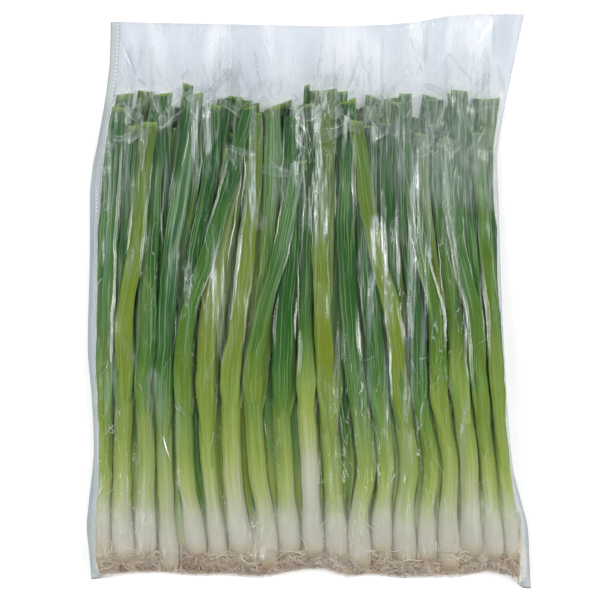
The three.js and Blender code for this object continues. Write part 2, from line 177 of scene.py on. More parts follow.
# ---------------------------------------------------------------- the layout
@dataclass
class Station:
    """Where a stalk or leaf lies at one station: its middle and its reach to either side."""

    x: float
    z: float
    half: float


@dataclass
class LeafPlan:
    """One leaf: how far its tip drifts aside, its half width, its tip and the cut across it."""

    drift: float
    half: float
    tip_y: float
    cut: float
    stations: list[Station] = field(default_factory=list)

    def rings(self, start: float, step: float) -> Array:
        """Gives the y of its rings, from start up to its tip."""
        return np.concatenate([np.arange(start, self.tip_y - 1.5, step), [self.tip_y]])


@dataclass
class OnionPlan:
    """One onion: its path across the bag, its bulb, its stalk and its leaves."""

    path: list[float]
    bulb_y: float
    fork_y: float
    bulb_radius: float
    stalk_radius: float
    leaves: list[LeafPlan]
    stations: list[Station] = field(default_factory=list)
    outer_leaves: list[LeafPlan] = field(default_factory=list)


@dataclass
class BunchPlan:
    """The rule that lays the onions side by side in two rows, in millimetres.

    A front onion is its x at each place of path_y and its bulb's radius. An over leaf is the place of
    its onion in the front row, how far its tip drifts aside and where its tip is.
    """

    floor: float = 1.3
    clearance: float = 0.5
    edge_reach: float = 6.4
    front_onions: tuple = (
        (-139, -138, -136, -130, 5.6), (-127, -129, -127, -121, 7.8), (-113, -108, -111, -107, 7.4),
        (-97, -100, -99, -79, 6.6), (-75, -88, -84, -60, 7.2), (-62, -70, -67, -46, 6.4),
        (-45, -54, -47, -26, 8.0), (-26, -38, -32, -14, 7.6), (-11, -18, -16, -5, 7.6),
        (5, 0, -1, 6, 7.6), (22, 14, 10, 15, 7.8), (39, 39, 28, 25, 7.8), (55, 52, 45, 37, 7.2),
        (72, 67, 59, 47, 8.0), (88, 82, 74, 59, 6.6), (102, 95, 88, 73, 7.6),
        (120, 109, 101, 86, 7.6), (133, 123, 114, 104, 6.4), (144, 133, 125, 115, 5.4))
    path_y: tuple = (-170, -84, -10, 126)
    over_leaves: tuple = ((1, 14, 122), (4, 20, 134), (7, 15, 96), (10, -4, 130),
                          (13, -17, 124), (15, -12, 136), (17, -15, 108))
    back_count: int = 21
    back_bulb_radius: tuple = (5.6, 6.8)
    stations: tuple = (-205, -150, -116, -62, -18, 30, 85, 150)
    row_depth: tuple = (15.8, 15.6, 13.2, 13.0, 13.0, 12.0, 10.6, 9.0)
    parting: int = 3
    layers: int = 3
    bulb_y: tuple = (-173, -161)
    stalk_radius: tuple = (5.9, 6.9)
    fork_y: tuple = (-104, -68)
    tip_y: tuple = (102, 146)
    leaf_half: tuple = (4.8, 7.4)
    over_leaf_half: float = 6.0
    lean: tuple = ((2, -4, 5), (-7, 6, 0))
    leaf_wander: float = 2.2
    leaf_bend: float = 0.9
    leaf_spare: float = 0.5
    stalk_share: float = 0.88
    cut: tuple = (-0.4, 0.4)
    outer_tip_y: tuple = (96, 150)
    outer_half: tuple = (3.0, 5.6)
    outer_overlap: float = 1.8
    outer_lift: float = 3.2
    outer_leaf_lift: float = 0.28
    seed: int = 71

    def spread(self, wanted: list[float], halves: list[float], y: float) -> list[tuple[float, float]]:
        """Moves items just far enough apart to lie side by side between the bag's edges.

        Args:
            wanted: Where each item would lie.
            halves: Its reach to either side.
            y: The station.

        Returns:
            The place and the half width that each item gets.
        """
        left = along(CadBag.left_edge, y) + self.edge_reach
        right = along(CadBag.right_edge, y) - self.edge_reach
        total = sum(2 * half + self.clearance for half in halves)
        squeeze = min(1.0, (right - left) / total)
        widths = [squeeze * (2 * half + self.clearance) for half in halves]
        starts = left + np.concatenate([[0.0], np.cumsum(widths)[:-1]])
        pools: list[tuple[float, int]] = []
        for place, start, width in zip(wanted, starts, widths):
            pools.append((place - (start + width / 2), 1))
            while len(pools) > 1 and pools[-2][0] > pools[-1][0]:
                (mean_b, count_b), (mean_a, count_a) = pools.pop(), pools.pop()
                count = count_a + count_b
                pools.append(((mean_a * count_a + mean_b * count_b) / count, count))
        moved = [mean for mean, count in pools for _ in range(count)]
        room = right - left - squeeze * total
        return [(start + width / 2 + min(max(shift, 0), room), (width - self.clearance) / 2)
                for start, width, shift in zip(starts, widths, moved)]

    def draw_onion(self, path: list[float], bulb_radius: float, lean: tuple, draws: Draws) -> OnionPlan:
        """Draws one onion's own sizes.

        Args:
            path: Its x at each place of path_y.
            bulb_radius: Its bulb's radius.
            lean: How far the leaf of each layer drifts aside by its tip.
            draws: The row of draws.

        Returns:
            The onion, not yet placed.
        """
        bulb_y = draws.between(*self.bulb_y)
        fork_y = draws.between(*self.fork_y)
        stalk_radius = min(draws.between(*self.stalk_radius), bulb_radius * self.stalk_share)
        leaves = []
        for layer in range(self.layers):
            drift = lean[layer] + draws.between(-self.leaf_wander, self.leaf_wander)
            half = draws.between(*self.leaf_half)
            tip_y = draws.between(*self.tip_y)
            leaves.append(LeafPlan(drift, half, tip_y, draws.between(*self.cut)))
        return OnionPlan(path, bulb_y, fork_y, bulb_radius, stalk_radius, leaves)

    def leaf_x(self, leaf: LeafPlan, wanted: float, y: float) -> float:
        """Gives where a leaf would lie, once it has drifted away from its stalk.

        Args:
            leaf: The leaf's plan.
            wanted: Where its stalk would lie.
            y: The station.

        Returns:
            Its x.
        """
        low = self.stations[self.parting]
        rise = min(max((y - low) / (self.tip_y[1] - low), 0), 1)
        return wanted + leaf.drift * rise ** self.leaf_bend

    def place_row(self, onions: list[OnionPlan], base: list[float]) -> None:
        """Places one row: stalks side by side, and above the parting the leaves of each layer.

        Args:
            onions: The row, from left to right.
            base: The height that the row lies on at each station.
        """
        for k, y in enumerate(self.stations):
            wanted = [curve(self.path_y, onion.path, y) for onion in onions]
            spare = self.leaf_spare if k == self.parting else 0
            halves = [onion.bulb_radius if k < 2 else onion.stalk_radius + spare for onion in onions]
            stalks = self.spread(wanted, halves, y)
            for onion, (x, half) in zip(onions, stalks):
                onion.stations.append(Station(x, base[k] + half, half))
            for layer in range(self.layers):
                leaves = [onion.leaves[layer] for onion in onions]
                placed = stalks
                if k > self.parting:
                    free = [self.leaf_x(leaf, x, y) for leaf, x in zip(leaves, wanted)]
                    placed = self.spread(free, [leaf.half for leaf in leaves], y)
                z = base[k] + self.row_depth[k] * (layer + 0.5) / self.layers
                for leaf, (x, half) in zip(leaves, placed):
                    leaf.stations.append(Station(x, z, half))

    def add_over_leaf(self, onion: OnionPlan, drift: float, tip_y: float, base: list[float],
                      draws: Draws) -> None:
        """Lays one more leaf over the front row: over its own stalk first, then across others.

        Args:
            onion: The onion it grows from.
            drift: How far its tip drifts aside.
            tip_y: Where its tip is.
            base: The height of the front row's underside at each station.
            draws: The row of draws.
        """
        leaf = LeafPlan(drift, self.over_leaf_half, tip_y, draws.between(*self.cut))
        for k, y in enumerate(self.stations):
            under = onion.leaves[self.layers - 1].stations[k]
            z = under.z
            if k > self.parting:
                z = base[k] + self.row_depth[k] * (self.layers + 0.5) / self.layers
            x = under.x
            if k > self.parting + 1:
                x = self.leaf_x(leaf, curve(self.path_y, onion.path, y), y)
            leaf.stations.append(Station(x, z, min(leaf.half, under.half)))
        onion.leaves.append(leaf)

    def add_outer_leaves(self, back: list[OnionPlan], front: list[OnionPlan],
                         dice: np.random.Generator) -> None:
        """Lets a low outer leaf of a back onion run up each gap between two onions of the front row.

        Args:
            back: The onions of the back row.
            front: The onions of the front row.
            dice: Where the draws come from.
        """
        free, (least, most) = list(back), self.outer_half
        for left, right in zip(front, front[1:]):
            middle = 0.5 * (left.stations[1].x + right.stations[1].x)
            onion = min(free, key=lambda near: abs(near.stations[1].x - middle))
            free.remove(onion)
            leaf = LeafPlan(0.0, most, float(dice.uniform(*self.outer_tip_y)),
                            float(dice.uniform(*self.cut)))
            for k in range(len(self.stations)):
                a, b = left.stations, right.stations
                if k > self.parting:
                    a, b = left.leaves[1].stations, right.leaves[1].stations
                low, high = a[k].x + a[k].half, b[k].x - b[k].half
                half = min(max(0.5 * (high - low) + self.outer_overlap, least), most)
                lift = self.outer_lift if k < self.parting else self.outer_leaf_lift * self.row_depth[k]
                z = self.floor + self.row_depth[k] + lift
                leaf.stations.append(Station(0.5 * (low + high), z, half))
            onion.outer_leaves.append(leaf)

    def flow_path(self, share: float) -> list[float]:
        """Gives the path of an onion of the back row, between those of its two neighbours in front.

        Args:
            share: Its share of the way across.

        Returns:
            Its x at each place of path_y.
        """
        last = len(self.front_onions) - 1
        at = share * last
        low = min(math.floor(at), last - 1)
        return [mix(self.front_onions[low][column], self.front_onions[low + 1][column], at - low)
                for column in range(len(self.path_y))]

    def onions(self) -> list[OnionPlan]:
        """Lays out the whole bunch.

        Returns:
            The onions, the back row first, each row from left to right.
        """
        draws = Draws(self.seed)
        back = []
        for n in range(self.back_count):
            path = self.flow_path(n / (self.back_count - 1))
            back.append(self.draw_onion(path, draws.between(*self.back_bulb_radius), self.lean[0], draws))
        front = [self.draw_onion(list(row[:4]), row[4], self.lean[1], draws) for row in self.front_onions]
        self.place_row(back, [self.floor] * len(self.stations))
        front_base = [self.floor + depth for depth in self.row_depth]
        self.place_row(front, front_base)
        for place, drift, tip_y in self.over_leaves:
            self.add_over_leaf(front[place], drift, tip_y, front_base, draws)
        return back + front


class CadBag:
    """The outline of the bag that the bunch is laid out in: x along the sides, in millimetres."""

    left_edge: Points = [(-194, -149), (-150, -153), (-110, -150), (-60, -151), (0, -152), (70, -151),
                         (105, -146), (150, -139), (194, -137)]
    right_edge: Points = [(-200, 154), (-170, 153), (-120, 146), (-60, 141), (0, 138), (70, 135),
                          (110, 133), (125, 136), (160, 144), (198, 150)]
    middle: tuple[float, float] = (0.788, -1.099)


def swell(x: Array, y: Array, z: Array) -> Array:
    """Makes the pack a little thicker in some places than in others."""
    wave = np.sin(x / 19 + 0.8) * 0.5 + np.sin(y / 37 - x / 45) * 0.5
    return z * (1 + 0.1 * wave)


# ---------------------------------------------------------------- meshes
class Skin(Enum):
    """The finishes of an onion's mesh, by material slot."""

    FLESH = 0
    ROOTS = 1


def grid(x: Array, y: Array, z: Array) -> Array:
    """Joins three coordinates to points."""
    return np.stack(np.broadcast_arrays(x, y, z), axis=-1)


def corners_of(values: Array) -> Array:
    """Gives the values at the four corners of each cell of a grid, going round it."""
    low, high = values[:-1], values[1:]
    return np.stack([low[:, :-1], low[:, 1:], high[:, 1:], high[:, :-1]], axis=-1).reshape(-1, 4)


def neighbours(values: Array) -> tuple[Array, Array]:
    """Moves a grid by one cell to either side."""
    return np.roll(values, 1, axis=1), np.roll(values, -1, axis=1)


def unit(steps: Array) -> Array:
    """Makes each step 1 long."""
    return steps / np.maximum(np.linalg.norm(steps, axis=1, keepdims=True), 1e-9)


@dataclass
class Loft:
    """A tube through rings of equally many points, with what its finish needs to know."""

    rings: Array
    growth: Array
    tone: float
    skin: Skin
    cut: Array
    outwards: tuple = (0, 3, 2, 1)

    def points(self) -> Array:
        """Gives the tube's points as they lie in the pack.

        Returns:
            The points, ring by ring.
        """
        points = self.rings.reshape(-1, 3).copy()
        if self.skin is Skin.FLESH:
            points[:, 2] = swell(*points.T)
        return points

    def faces(self, start: int) -> Array:
        """Gives the tube's four-sided faces, counted from its first point in the whole mesh."""
        number = start + np.arange(self.rings.size // 3).reshape(self.rings.shape[:2])
        return corners_of(np.concatenate([number, number[:, :1]], axis=1))[:, self.outwards]

    def around(self) -> Array:
        """Gives the corners' places on the skin.

        Returns:
            For each corner of each face, the millimetres around the tube and along it.
        """
        step = np.linalg.norm(self.rings - np.roll(self.rings, -1, axis=1), axis=-1).mean(axis=0)
        v, u = np.meshgrid(self.growth, np.concatenate([[0.0], np.cumsum(step)]), indexing="ij")
        u, v = (corners_of(values)[:, self.outwards] for values in (u, v))
        return np.stack([u + 97.0 * self.tone, v], axis=-1).reshape(-1, 2)

    def values(self) -> Array:
        """Gives what the finish reads at each point.

        Returns:
            Four rows: growth, tone, cut and wax.
        """
        rows = (self.growth, np.full(len(self.growth), self.tone), self.cut,
                np.full(len(self.growth), (61.7 * self.tone) % 1))
        return np.repeat(rows, self.rings.shape[1], axis=1)


def to_frame(points: Array) -> Array:
    """Moves points from the layout's millimetres to the part's frame in metres.

    Args:
        points: The points.

    Returns:
        The moved points.
    """
    moved = np.array(points, dtype=float)
    moved[..., 0] -= CadBag.middle[0]
    moved[..., 1] -= CadBag.middle[1]
    return moved * MM


def object_from(name: str, points: Array, faces: Array) -> bpy.types.Object:
    """Makes an object from points in the part's frame.

    Args:
        name: The piece's name.
        points: Its points, in metres.
        faces: Its faces, all with equally many corners.

    Returns:
        The object, linked to the scene and selected alone.
    """
    mesh = bpy.data.meshes.new(name)
    corners = faces.shape[1]
    mesh.vertices.add(len(points))
    mesh.vertices.foreach_set("co", points.astype(np.float32).ravel())
    mesh.loops.add(faces.size)
    mesh.loops.foreach_set("vertex_index", faces.astype(np.int32).ravel())
    mesh.polygons.add(len(faces))
    mesh.polygons.foreach_set("loop_start", np.arange(0, faces.size, corners, dtype=np.int32))
    mesh.update(calc_edges=True)
    mesh.validate()
    piece = bpy.data.objects.new(name, mesh)
    bpy.context.scene.collection.objects.link(piece)
    bpy.ops.object.select_all(action="DESELECT")
    piece.select_set(True)
    bpy.context.view_layer.objects.active = piece
    return piece


def report(piece: bpy.types.Object) -> None:
    """Logs how many faces a finished piece has."""
    LOG.info("%s: %d faces", piece.name, len(piece.data.polygons))


def point_values(piece: bpy.types.Object, name: str, values: Array) -> None:
    """Stores one number for each point of a mesh, for its material to read."""
    piece.data.attributes.new(name, "FLOAT", "POINT").data.foreach_set("value", values.astype(np.float32))


# ---------------------------------------------------------------- materials
class Shader:
    """A short way to put nodes into a material or a group, with patterns that follow one coordinate."""

    def __init__(self, tree: bpy.types.NodeTree) -> None:
        """Works on one node tree."""
        self.tree = tree
        self.where: Socket | None = None

    def feed(self, node: bpy.types.Node, inputs: dict) -> None:
        """Gives a node's inputs, by name or number, an output to read or a plain value.

        Args:
            node: The node.
            inputs: What each input gets.
        """
        for key, value in inputs.items():
            if isinstance(value, Socket):
                self.tree.links.new(value, node.inputs[key])
            else:
                node.inputs[key].default_value = value

    def node(self, kind: str, inputs: dict | None = None, **settings: object) -> bpy.types.Node:
        """Adds a node.

        Args:
            kind: The node's type.
            inputs: What its inputs get.
            **settings: Its settings by name.

        Returns:
            The node.
        """
        node = self.tree.nodes.new(kind)
        for key, value in settings.items():
            setattr(node, key, value)
        self.feed(node, inputs or {})
        return node

    def maths(self, operation: str, a: object, b: object = 0.0, clamp: bool = False) -> Socket:
        """Adds a math node, whose output may be kept between 0 and 1."""
        return self.node("ShaderNodeMath", {0: a, 1: b}, operation=operation, use_clamp=clamp).outputs[0]

    def times(self, *factors: object) -> Socket:
        """Multiplies values."""
        return reduce(lambda a, b: self.maths("MULTIPLY", a, b), factors)

    def plus(self, *terms: object, clamp: bool = False) -> Socket:
        """Adds values, and may keep each sum between 0 and 1."""
        return reduce(lambda a, b: self.maths("ADD", a, b, clamp), terms)

    def swing(self, noise: object, reach: float) -> Socket:
        """Turns noise around 0.5 into a swing to both sides of 0."""
        return self.times(self.maths("SUBTRACT", noise, 0.5), reach)

    def graph(self, value: object, low: float, high: float, to_low: float = 0.0, to_high: float = 1.0,
              smooth: bool = True) -> Socket:
        """Maps low..high to to_low..to_high.

        Args:
            value: The input.
            low: Where the input's range starts.
            high: Where it ends.
            to_low: The output at low.
            to_high: The output at high.
            smooth: Whether the change starts and ends gently.

        Returns:
            The mapped value, held beyond its ends.
        """
        kind, given = "SMOOTHSTEP" if smooth else "LINEAR", (value, low, high, to_low, to_high)
        return self.node("ShaderNodeMapRange", dict(enumerate(given)), clamp=True,
                         interpolation_type=kind).outputs[0]

    def colours(self, mode: str, share: object, a: object, b: object) -> Socket:
        """Mixes two colours.

        Args:
            mode: The way they are mixed.
            share: How much of b there is.
            a: The first colour.
            b: The second colour.

        Returns:
            The mixed colour.
        """
        a, b = ((*colour, 1) if isinstance(colour, tuple) else colour for colour in (a, b))
        return self.node("ShaderNodeMix", {0: share, 6: a, 7: b}, data_type="RGBA",
                         blend_type=mode).outputs[2]

    def blend(self, a: object, b: object, share: object) -> Socket:
        """Goes from value a to value b as share goes from 0 to 1."""
        return self.node("ShaderNodeMix", {0: share, 2: a, 3: b}, data_type="FLOAT").outputs[0]

    def attribute(self, name: str) -> Socket:
        """Reads a number that the mesh holds for each point."""
        return self.node("ShaderNodeAttribute", attribute_name=name).outputs["Fac"]

    def onward(self) -> Socket:
        """Reads the Y of the coordinate."""
        return self.node("ShaderNodeSeparateXYZ", {0: self.where}).outputs["Y"]

    def ramp(self, value: object, stops: tuple) -> Socket:
        """Gives a colour for a value.

        Args:
            value: The input, from 0 to 1.
            stops: (place, (red, green, blue)) pairs.

        Returns:
            The colour.
        """
        node = self.node("ShaderNodeValToRGB", {0: value})
        elements = node.color_ramp.elements
        while len(elements) < len(stops):
            elements.new(1.0)
        for element, (place, colour) in zip(elements, stops):
            element.position = place
            element.color = (*colour, 1.0)
        return node.outputs[0]

    def noise(self, scale: tuple, detail: float = 2.0, roughness: float = 0.5,
              distortion: float = 0.0) -> Socket:
        """Adds noise that may be stretched.

        Args:
            scale: How many times the pattern repeats in a unit of each axis.
            detail: How many finer octaves it has.
            roughness: How strong the finer octaves are.
            distortion: How far it is bent.

        Returns:
            The noise, around 0.5.
        """
        place = self.node("ShaderNodeMapping", {"Vector": self.where, "Scale": scale}).outputs[0]
        given = {"Vector": place, "Scale": 1.0, "Detail": detail, "Roughness": roughness,
                 "Distortion": distortion}
        return self.node("ShaderNodeTexNoise", given).outputs["Fac"]

    def bump(self, height: object, strength: float, depth: float) -> Socket:
        """Makes a normal with fine relief, of a strength and a depth in metres."""
        given = {"Height": height, "Strength": strength, "Distance": depth}
        return self.node("ShaderNodeBump", given).outputs[0]

    def fibres(self, fineness: float, stretch: float) -> tuple[Socket, Socket]:
        """Places the shared group for long fibres.

        Args:
            fineness: Fibres in a unit across.
            stretch: How many times longer than wide they are.

        Returns:
            The fine lines, and the broader patches.
        """
        given = {"Vector": self.where, "Fineness": fineness, "Stretch": stretch}
        node = self.node("ShaderNodeGroup", given, node_tree=fibre_group())
        return node.outputs["Lines"], node.outputs["Patches"]


def fibre_group() -> bpy.types.NodeTree:
    """Builds, once, the group for long fine fibres that run along a plant or a drawn film.

    Returns:
        A group with inputs Vector, Fineness and Stretch and outputs Lines and Patches.
    """
    made = bpy.data.node_groups.get("long_fibres")
    if made:
        return made
    group = bpy.data.node_groups.new("long_fibres", "ShaderNodeTree")
    for name, way, kind in (("Vector", "INPUT", "NodeSocketVector"), ("Fineness", "INPUT", "NodeSocketFloat"),
                            ("Stretch", "INPUT", "NodeSocketFloat"), ("Lines", "OUTPUT", "NodeSocketFloat"),
                            ("Patches", "OUTPUT", "NodeSocketFloat")):
        group.interface.new_socket(name, in_out=way, socket_type=kind)
    shader = Shader(group)
    inlet, outlet = shader.node("NodeGroupInput"), shader.node("NodeGroupOutput")
    for output, finer, seed in (("Lines", 1.0, 0.0), ("Patches", 0.22, 31.0)):
        across = shader.times(inlet.outputs["Fineness"], finer)
        onward = shader.maths("DIVIDE", across, inlet.outputs["Stretch"])
        scale = shader.node("ShaderNodeCombineXYZ", {0: across, 1: onward, 2: across}).outputs[0]
        place = shader.node("ShaderNodeMapping", {"Vector": inlet.outputs["Vector"], "Scale": scale,
                                                  "Location": (seed, seed, seed)}).outputs[0]
        noise = shader.node("ShaderNodeTexNoise", {"Vector": place, "Scale": 1.0, "Detail": 3.0,
                                                   "Roughness": 0.6}).outputs["Fac"]
        shader.feed(outlet, {output: shader.graph(noise, 0.35, 0.65, smooth=False)})
    return group


@dataclass(frozen=True)
class Finish:
    """A material with a plain gloss, to which each kind adds its colours and relief."""

    name: str
    roughness: float
    specular: float = 0.5
    ior: float = 1.45

    def looks(self, shader: Shader) -> dict:
        """Works out what the surface's inputs get beyond the plain gloss."""
        return {}

    def material(self) -> bpy.types.Material:
        """Builds the material.

        Returns:
            The finished material.
        """
        material = bpy.data.materials.new(self.name)
        material.use_nodes = True
        shader, surface = Shader(material.node_tree), material.node_tree.nodes["Principled BSDF"]
        plain = {"Roughness": self.roughness, "Specular IOR Level": self.specular, "IOR": self.ior}
        shader.feed(surface, plain)
        shader.feed(surface, self.looks(shader))
        return material


@dataclass(frozen=True)
class FleshFinish(Finish):
    """White bulb, yellow-green stalk and deep green leaf, with fine veins and a waxy bloom."""

    length: float = 320.0
    stops: tuple = (
        (0.0, (0.34, 0.23, 0.13)), (0.018, (0.46, 0.40, 0.29)), (0.04, (0.49, 0.475, 0.425)),
        (0.085, (0.45, 0.45, 0.34)), (0.125, (0.345, 0.385, 0.155)), (0.17, (0.275, 0.345, 0.078)),
        (0.23, (0.215, 0.285, 0.046)), (0.31, (0.140, 0.215, 0.020)), (0.45, (0.072, 0.148, 0.009)),
        (0.62, (0.036, 0.120, 0.011)), (0.92, (0.020, 0.092, 0.017)))
    vein: tuple = (0.22, 0.38, 0.14)
    bloom: tuple = (0.27, 0.38, 0.30)
    light_leaf: tuple = (0.165, 0.215, 0.008)
    dark_leaf: tuple = (0.20, 0.58, 0.42)
    cut_colour: tuple = (0.27, 0.40, 0.09)

    def looks(self, shader: Shader) -> dict:
        """Works out what the surface's inputs get beyond the plain gloss.

        Args:
            shader: The material's node builder.

        Returns:
            What each of them gets.
        """
        graph, times = shader.graph, shader.times
        shader.where = shader.node("ShaderNodeUVMap", uv_map="skin").outputs[0]
        lines, patches = shader.fibres(1.05, 70.0)
        grown, tone = shader.attribute("growth"), shader.attribute("tone")
        uneven = shader.plus(shader.swing(patches, 26.0), shader.swing(lines, 24.0))
        shift = times(uneven, graph(grown, 14.0, 60.0))
        share = shader.maths("DIVIDE", shader.plus(grown, shift), self.length, clamp=True)
        green = graph(share, 0.17, 0.47)
        lighter = times(green, graph(tone, 0.58, 0.88, 0.0, 0.75), graph(share, 0.5, 0.9, 1.0, 0.5))
        shade = graph(shader.noise((0.04, 0.009, 1.0)), 0.38, 0.62, -0.22, 0.22)
        darker = times(green, graph(shader.plus(tone, shade), 0.2, 0.62, 1.0, 0.0))
        veins = times(graph(lines, 0.58, 0.80), graph(share, 0.07, 0.3, 0.16, 0.42))
        cover = graph(shader.noise((0.05, 0.012, 1.0)), 0.42, 0.58, 0.2, 1.0)
        wax = times(graph(patches, 0.3, 0.85, 0.15, 1.0), graph(lines, 0.1, 0.9, 0.3, 1.0), cover,
                    graph(share, 0.35, 0.8, 0.0, 0.8), graph(shader.attribute("wax"), 0.3, 0.8, 0.08, 1.0))
        colour = shader.ramp(share, self.stops)
        for mode, amount, tint in (("MIX", lighter, self.light_leaf), ("MULTIPLY", darker, self.dark_leaf),
                                   ("MIX", veins, self.vein), ("MIX", wax, self.bloom),
                                   ("MIX", shader.attribute("cut"), self.cut_colour)):
            colour = shader.colours(mode, amount, colour, tint)
        gloss = graph(patches, 0.2, 0.9, self.roughness - 0.08, self.roughness + 0.14)
        return {"Base Color": colour, "Roughness": gloss, "Normal": shader.bump(lines, 0.4, 0.0004)}


@dataclass(frozen=True)
class RootFinish(Finish):
    """Dry tan to brown root hairs, paler where they are young."""

    stops: tuple = ((0.0, (0.33, 0.215, 0.14)), (0.3, (0.50, 0.37, 0.26)), (0.65, (0.68, 0.56, 0.43)),
                    (1.0, (0.82, 0.74, 0.62)))

    def looks(self, shader: Shader) -> dict:
        """Works out what the surface's inputs get beyond the plain gloss.

        Args:
            shader: The material's node builder.

        Returns:
            What each of them gets.
        """
        shader.where = shader.node("ShaderNodeUVMap", uv_map="skin").outputs[0]
        lines, patches = shader.fibres(2.4, 6.0)
        share = shader.plus(shader.attribute("tone"), shader.swing(patches, 0.35), clamp=True)
        return {"Base Color": shader.ramp(share, self.stops), "Normal": shader.bump(lines, 0.3, 0.0002)}


@dataclass(frozen=True)
class FilmFinish(Finish):
    """Clear limp film: faintly milky where it clings, milkier where it stands off, with highlights painted on
    its folds.
    """

    colour: tuple = (0.53, 0.63, 0.58)
    flat_colour: tuple = (0.59, 0.65, 0.77)
    skirt_colour: tuple = (0.40, 0.455, 0.48)
    # Colours of the highlights painted on folds: cream over the leaves, whiter where nothing lies under the
    # film.
    painted_glint_colour: tuple = (0.89, 0.92, 0.77)
    glint_colour: tuple = (0.95, 0.97, 0.99)
    dot_colour: tuple = (0.68, 0.71, 0.73)
    mist_colour: tuple = (0.59, 0.56, 0.45)
    weld_from_edge: float = 4.7
    weld_pitch: float = 0.0027

    def haze(self, shader: Shader) -> Socket:
        """Works out how milky the film is, in long streaks.

        Args:
            shader: The material's node builder.

        Returns:
            The haze as a share of cover.
        """
        graph, times, damp = shader.graph, shader.times, shader.attribute("wet")
        lines, patches = shader.fibres(820.0, 30.0)
        region = shader.maths("MAXIMUM", graph(shader.noise((44, 11, 20)), 0.51, 0.59, 0.02, 1.0),
                              graph(damp, 0.15, 0.4, 0.34, 0.0))
        streaks = times(graph(patches, 0.36, 0.8, 0.1, 1.0), graph(lines, 0.3, 0.7, 0.45, 1.15), region)
        loose = graph(shader.attribute("stand_off"), 0.8, 3.2)
        gain = times(shader.blend(0.40, 0.32, loose), graph(damp, 0.15, 1.0, 1.8, 0.3))
        mist = times(graph(damp, 0.02, 0.13, 0.24, 0.0), graph(lines, 0.2, 0.8, 0.55, 1.2))
        haze = shader.plus(shader.blend(0.002, 0.008, loose), graph(damp, 0.6, 1.0, 0.0, 0.012), mist,
                           times(gain, streaks))
        header = graph(shader.noise((40, 7, 20), 3.0, 0.6, 0.8), 0.38, 0.62, 0.29, 0.54)
        return shader.blend(haze, header, shader.attribute("empty"))

    def drops(self, shader: Shader) -> Socket:
        """Works out the fine drops that have settled under the film.

        Args:
            shader: The material's node builder.

        Returns:
            How much each place is covered by a drop.
        """
        cells = shader.node("ShaderNodeTexVoronoi", {"Vector": shader.where, "Scale": 700.0}, feature="F1")
        dot = shader.graph(cells.outputs["Distance"], 0.10, 0.32, 1.0, 0.0)
        patch = shader.graph(shader.noise((80, 45, 60)), 0.52, 0.64)
        wet = shader.times(shader.attribute("wet"), patch,
                           shader.graph(shader.attribute("stand_off"), 0.6, 3.0, 0.25, 1.0))
        return shader.times(dot, wet, 0.34)

    def mist(self, shader: Shader) -> tuple[Socket, Socket]:
        """Works out where damp from the roots mists the film, low over the bulbs.

        Args:
            shader: The material's node builder.

        Returns:
            How earthy the film's tint is, and how misted it is.
        """
        y = shader.onward()
        earthy = shader.graph(y, -0.166, -0.150, 1.0, 0.0)
        uneven = shader.graph(shader.noise((60, 30, 60)), 0.3, 0.7, 0.5, 1.0)
        return earthy, shader.times(shader.graph(y, -0.166, -0.127, 1.0, 0.0), uneven,
                                    shader.graph(y, -0.183, -0.171, 0.1, 1.0))

    def weld(self, shader: Shader) -> Socket:
        """Works out the dotted line that welds the two films together along one side.

        Args:
            shader: The material's node builder.

        Returns:
            The line's dots.
        """
        off = shader.maths("SUBTRACT", shader.attribute("edge"), self.weld_from_edge)
        turns = shader.times(shader.onward(), 2 * math.pi / self.weld_pitch)
        return shader.times(shader.graph(shader.maths("ABSOLUTE", off), 0.35, 0.7, 1.0, 0.0),
                            shader.graph(shader.maths("SINE", turns), -0.3, 0.3))

    def looks(self, shader: Shader) -> dict:
        """Works out what the surface's inputs get beyond the plain gloss.

        Args:
            shader: The material's node builder.

        Returns:
            What each of them gets.
        """
        graph, times, maths, empty = shader.graph, shader.times, shader.maths, shader.attribute("empty")
        shader.where = shader.node("ShaderNodeTexCoord").outputs["Object"]
        crumple = shader.noise((170, 22, 60), 2.5, 0.55, 0.8)
        # Fine lines in the crumple noise, painted as highlights where the film is loose.
        thin = times(graph(maths("ABSOLUTE", maths("SUBTRACT", crumple, 0.5)), 0.0, 0.012, 1.0, 0.0),
                     graph(shader.noise((34, 9, 20), 1.0), 0.52, 0.66), 0.32)
        drawn = shader.fibres(1300.0, 34.0)[0]
        # Highlight painted along the drawn folds, streaked by fine lines.
        pinched = times(shader.attribute("painted_glint"), graph(drawn, 0.1, 0.7, 0.55, 1.0))
        border = shader.attribute("border")
        loose = maths("SUBTRACT", 1.0, border)
        painted_glint = maths("MAXIMUM", pinched, times(thin, loose))
        facing = shader.node("ShaderNodeLayerWeight", {"Blend": 0.25}).outputs["Facing"]
        weld = self.weld(shader)
        earthy, mist = (times(share, loose) for share in self.mist(shader))
        # The painted highlights also make the film more opaque where they lie.
        alpha = shader.plus(self.haze(shader), times(painted_glint, 0.95), self.drops(shader),
                            times(mist, 0.36), times(border, 0.45), times(weld, 0.5), times(facing, 0.07),
                            clamp=True)
        # Colour of the painted highlights: cream, whiter over the empty header.
        painted_highlight = shader.colours("MIX", graph(empty, 0.1, 0.4), self.painted_glint_colour, self.glint_colour)
        tint = self.colour
        for share, colour in ((empty, self.flat_colour), (maths("MAXIMUM", earthy, mist), self.mist_colour),
                              (border, self.skirt_colour), (weld, self.dot_colour),
                              (graph(painted_glint, 0.0, 0.5), painted_highlight)):
            tint = shader.colours("MIX", share, tint, colour)
        gloss = shader.blend(self.roughness, 0.6, maths("MAXIMUM", border, mist))
        return {"Alpha": alpha, "Base Color": tint, "Roughness": gloss,
                "Normal": shader.bump(times(crumple, loose), 0.35, 0.0005)}


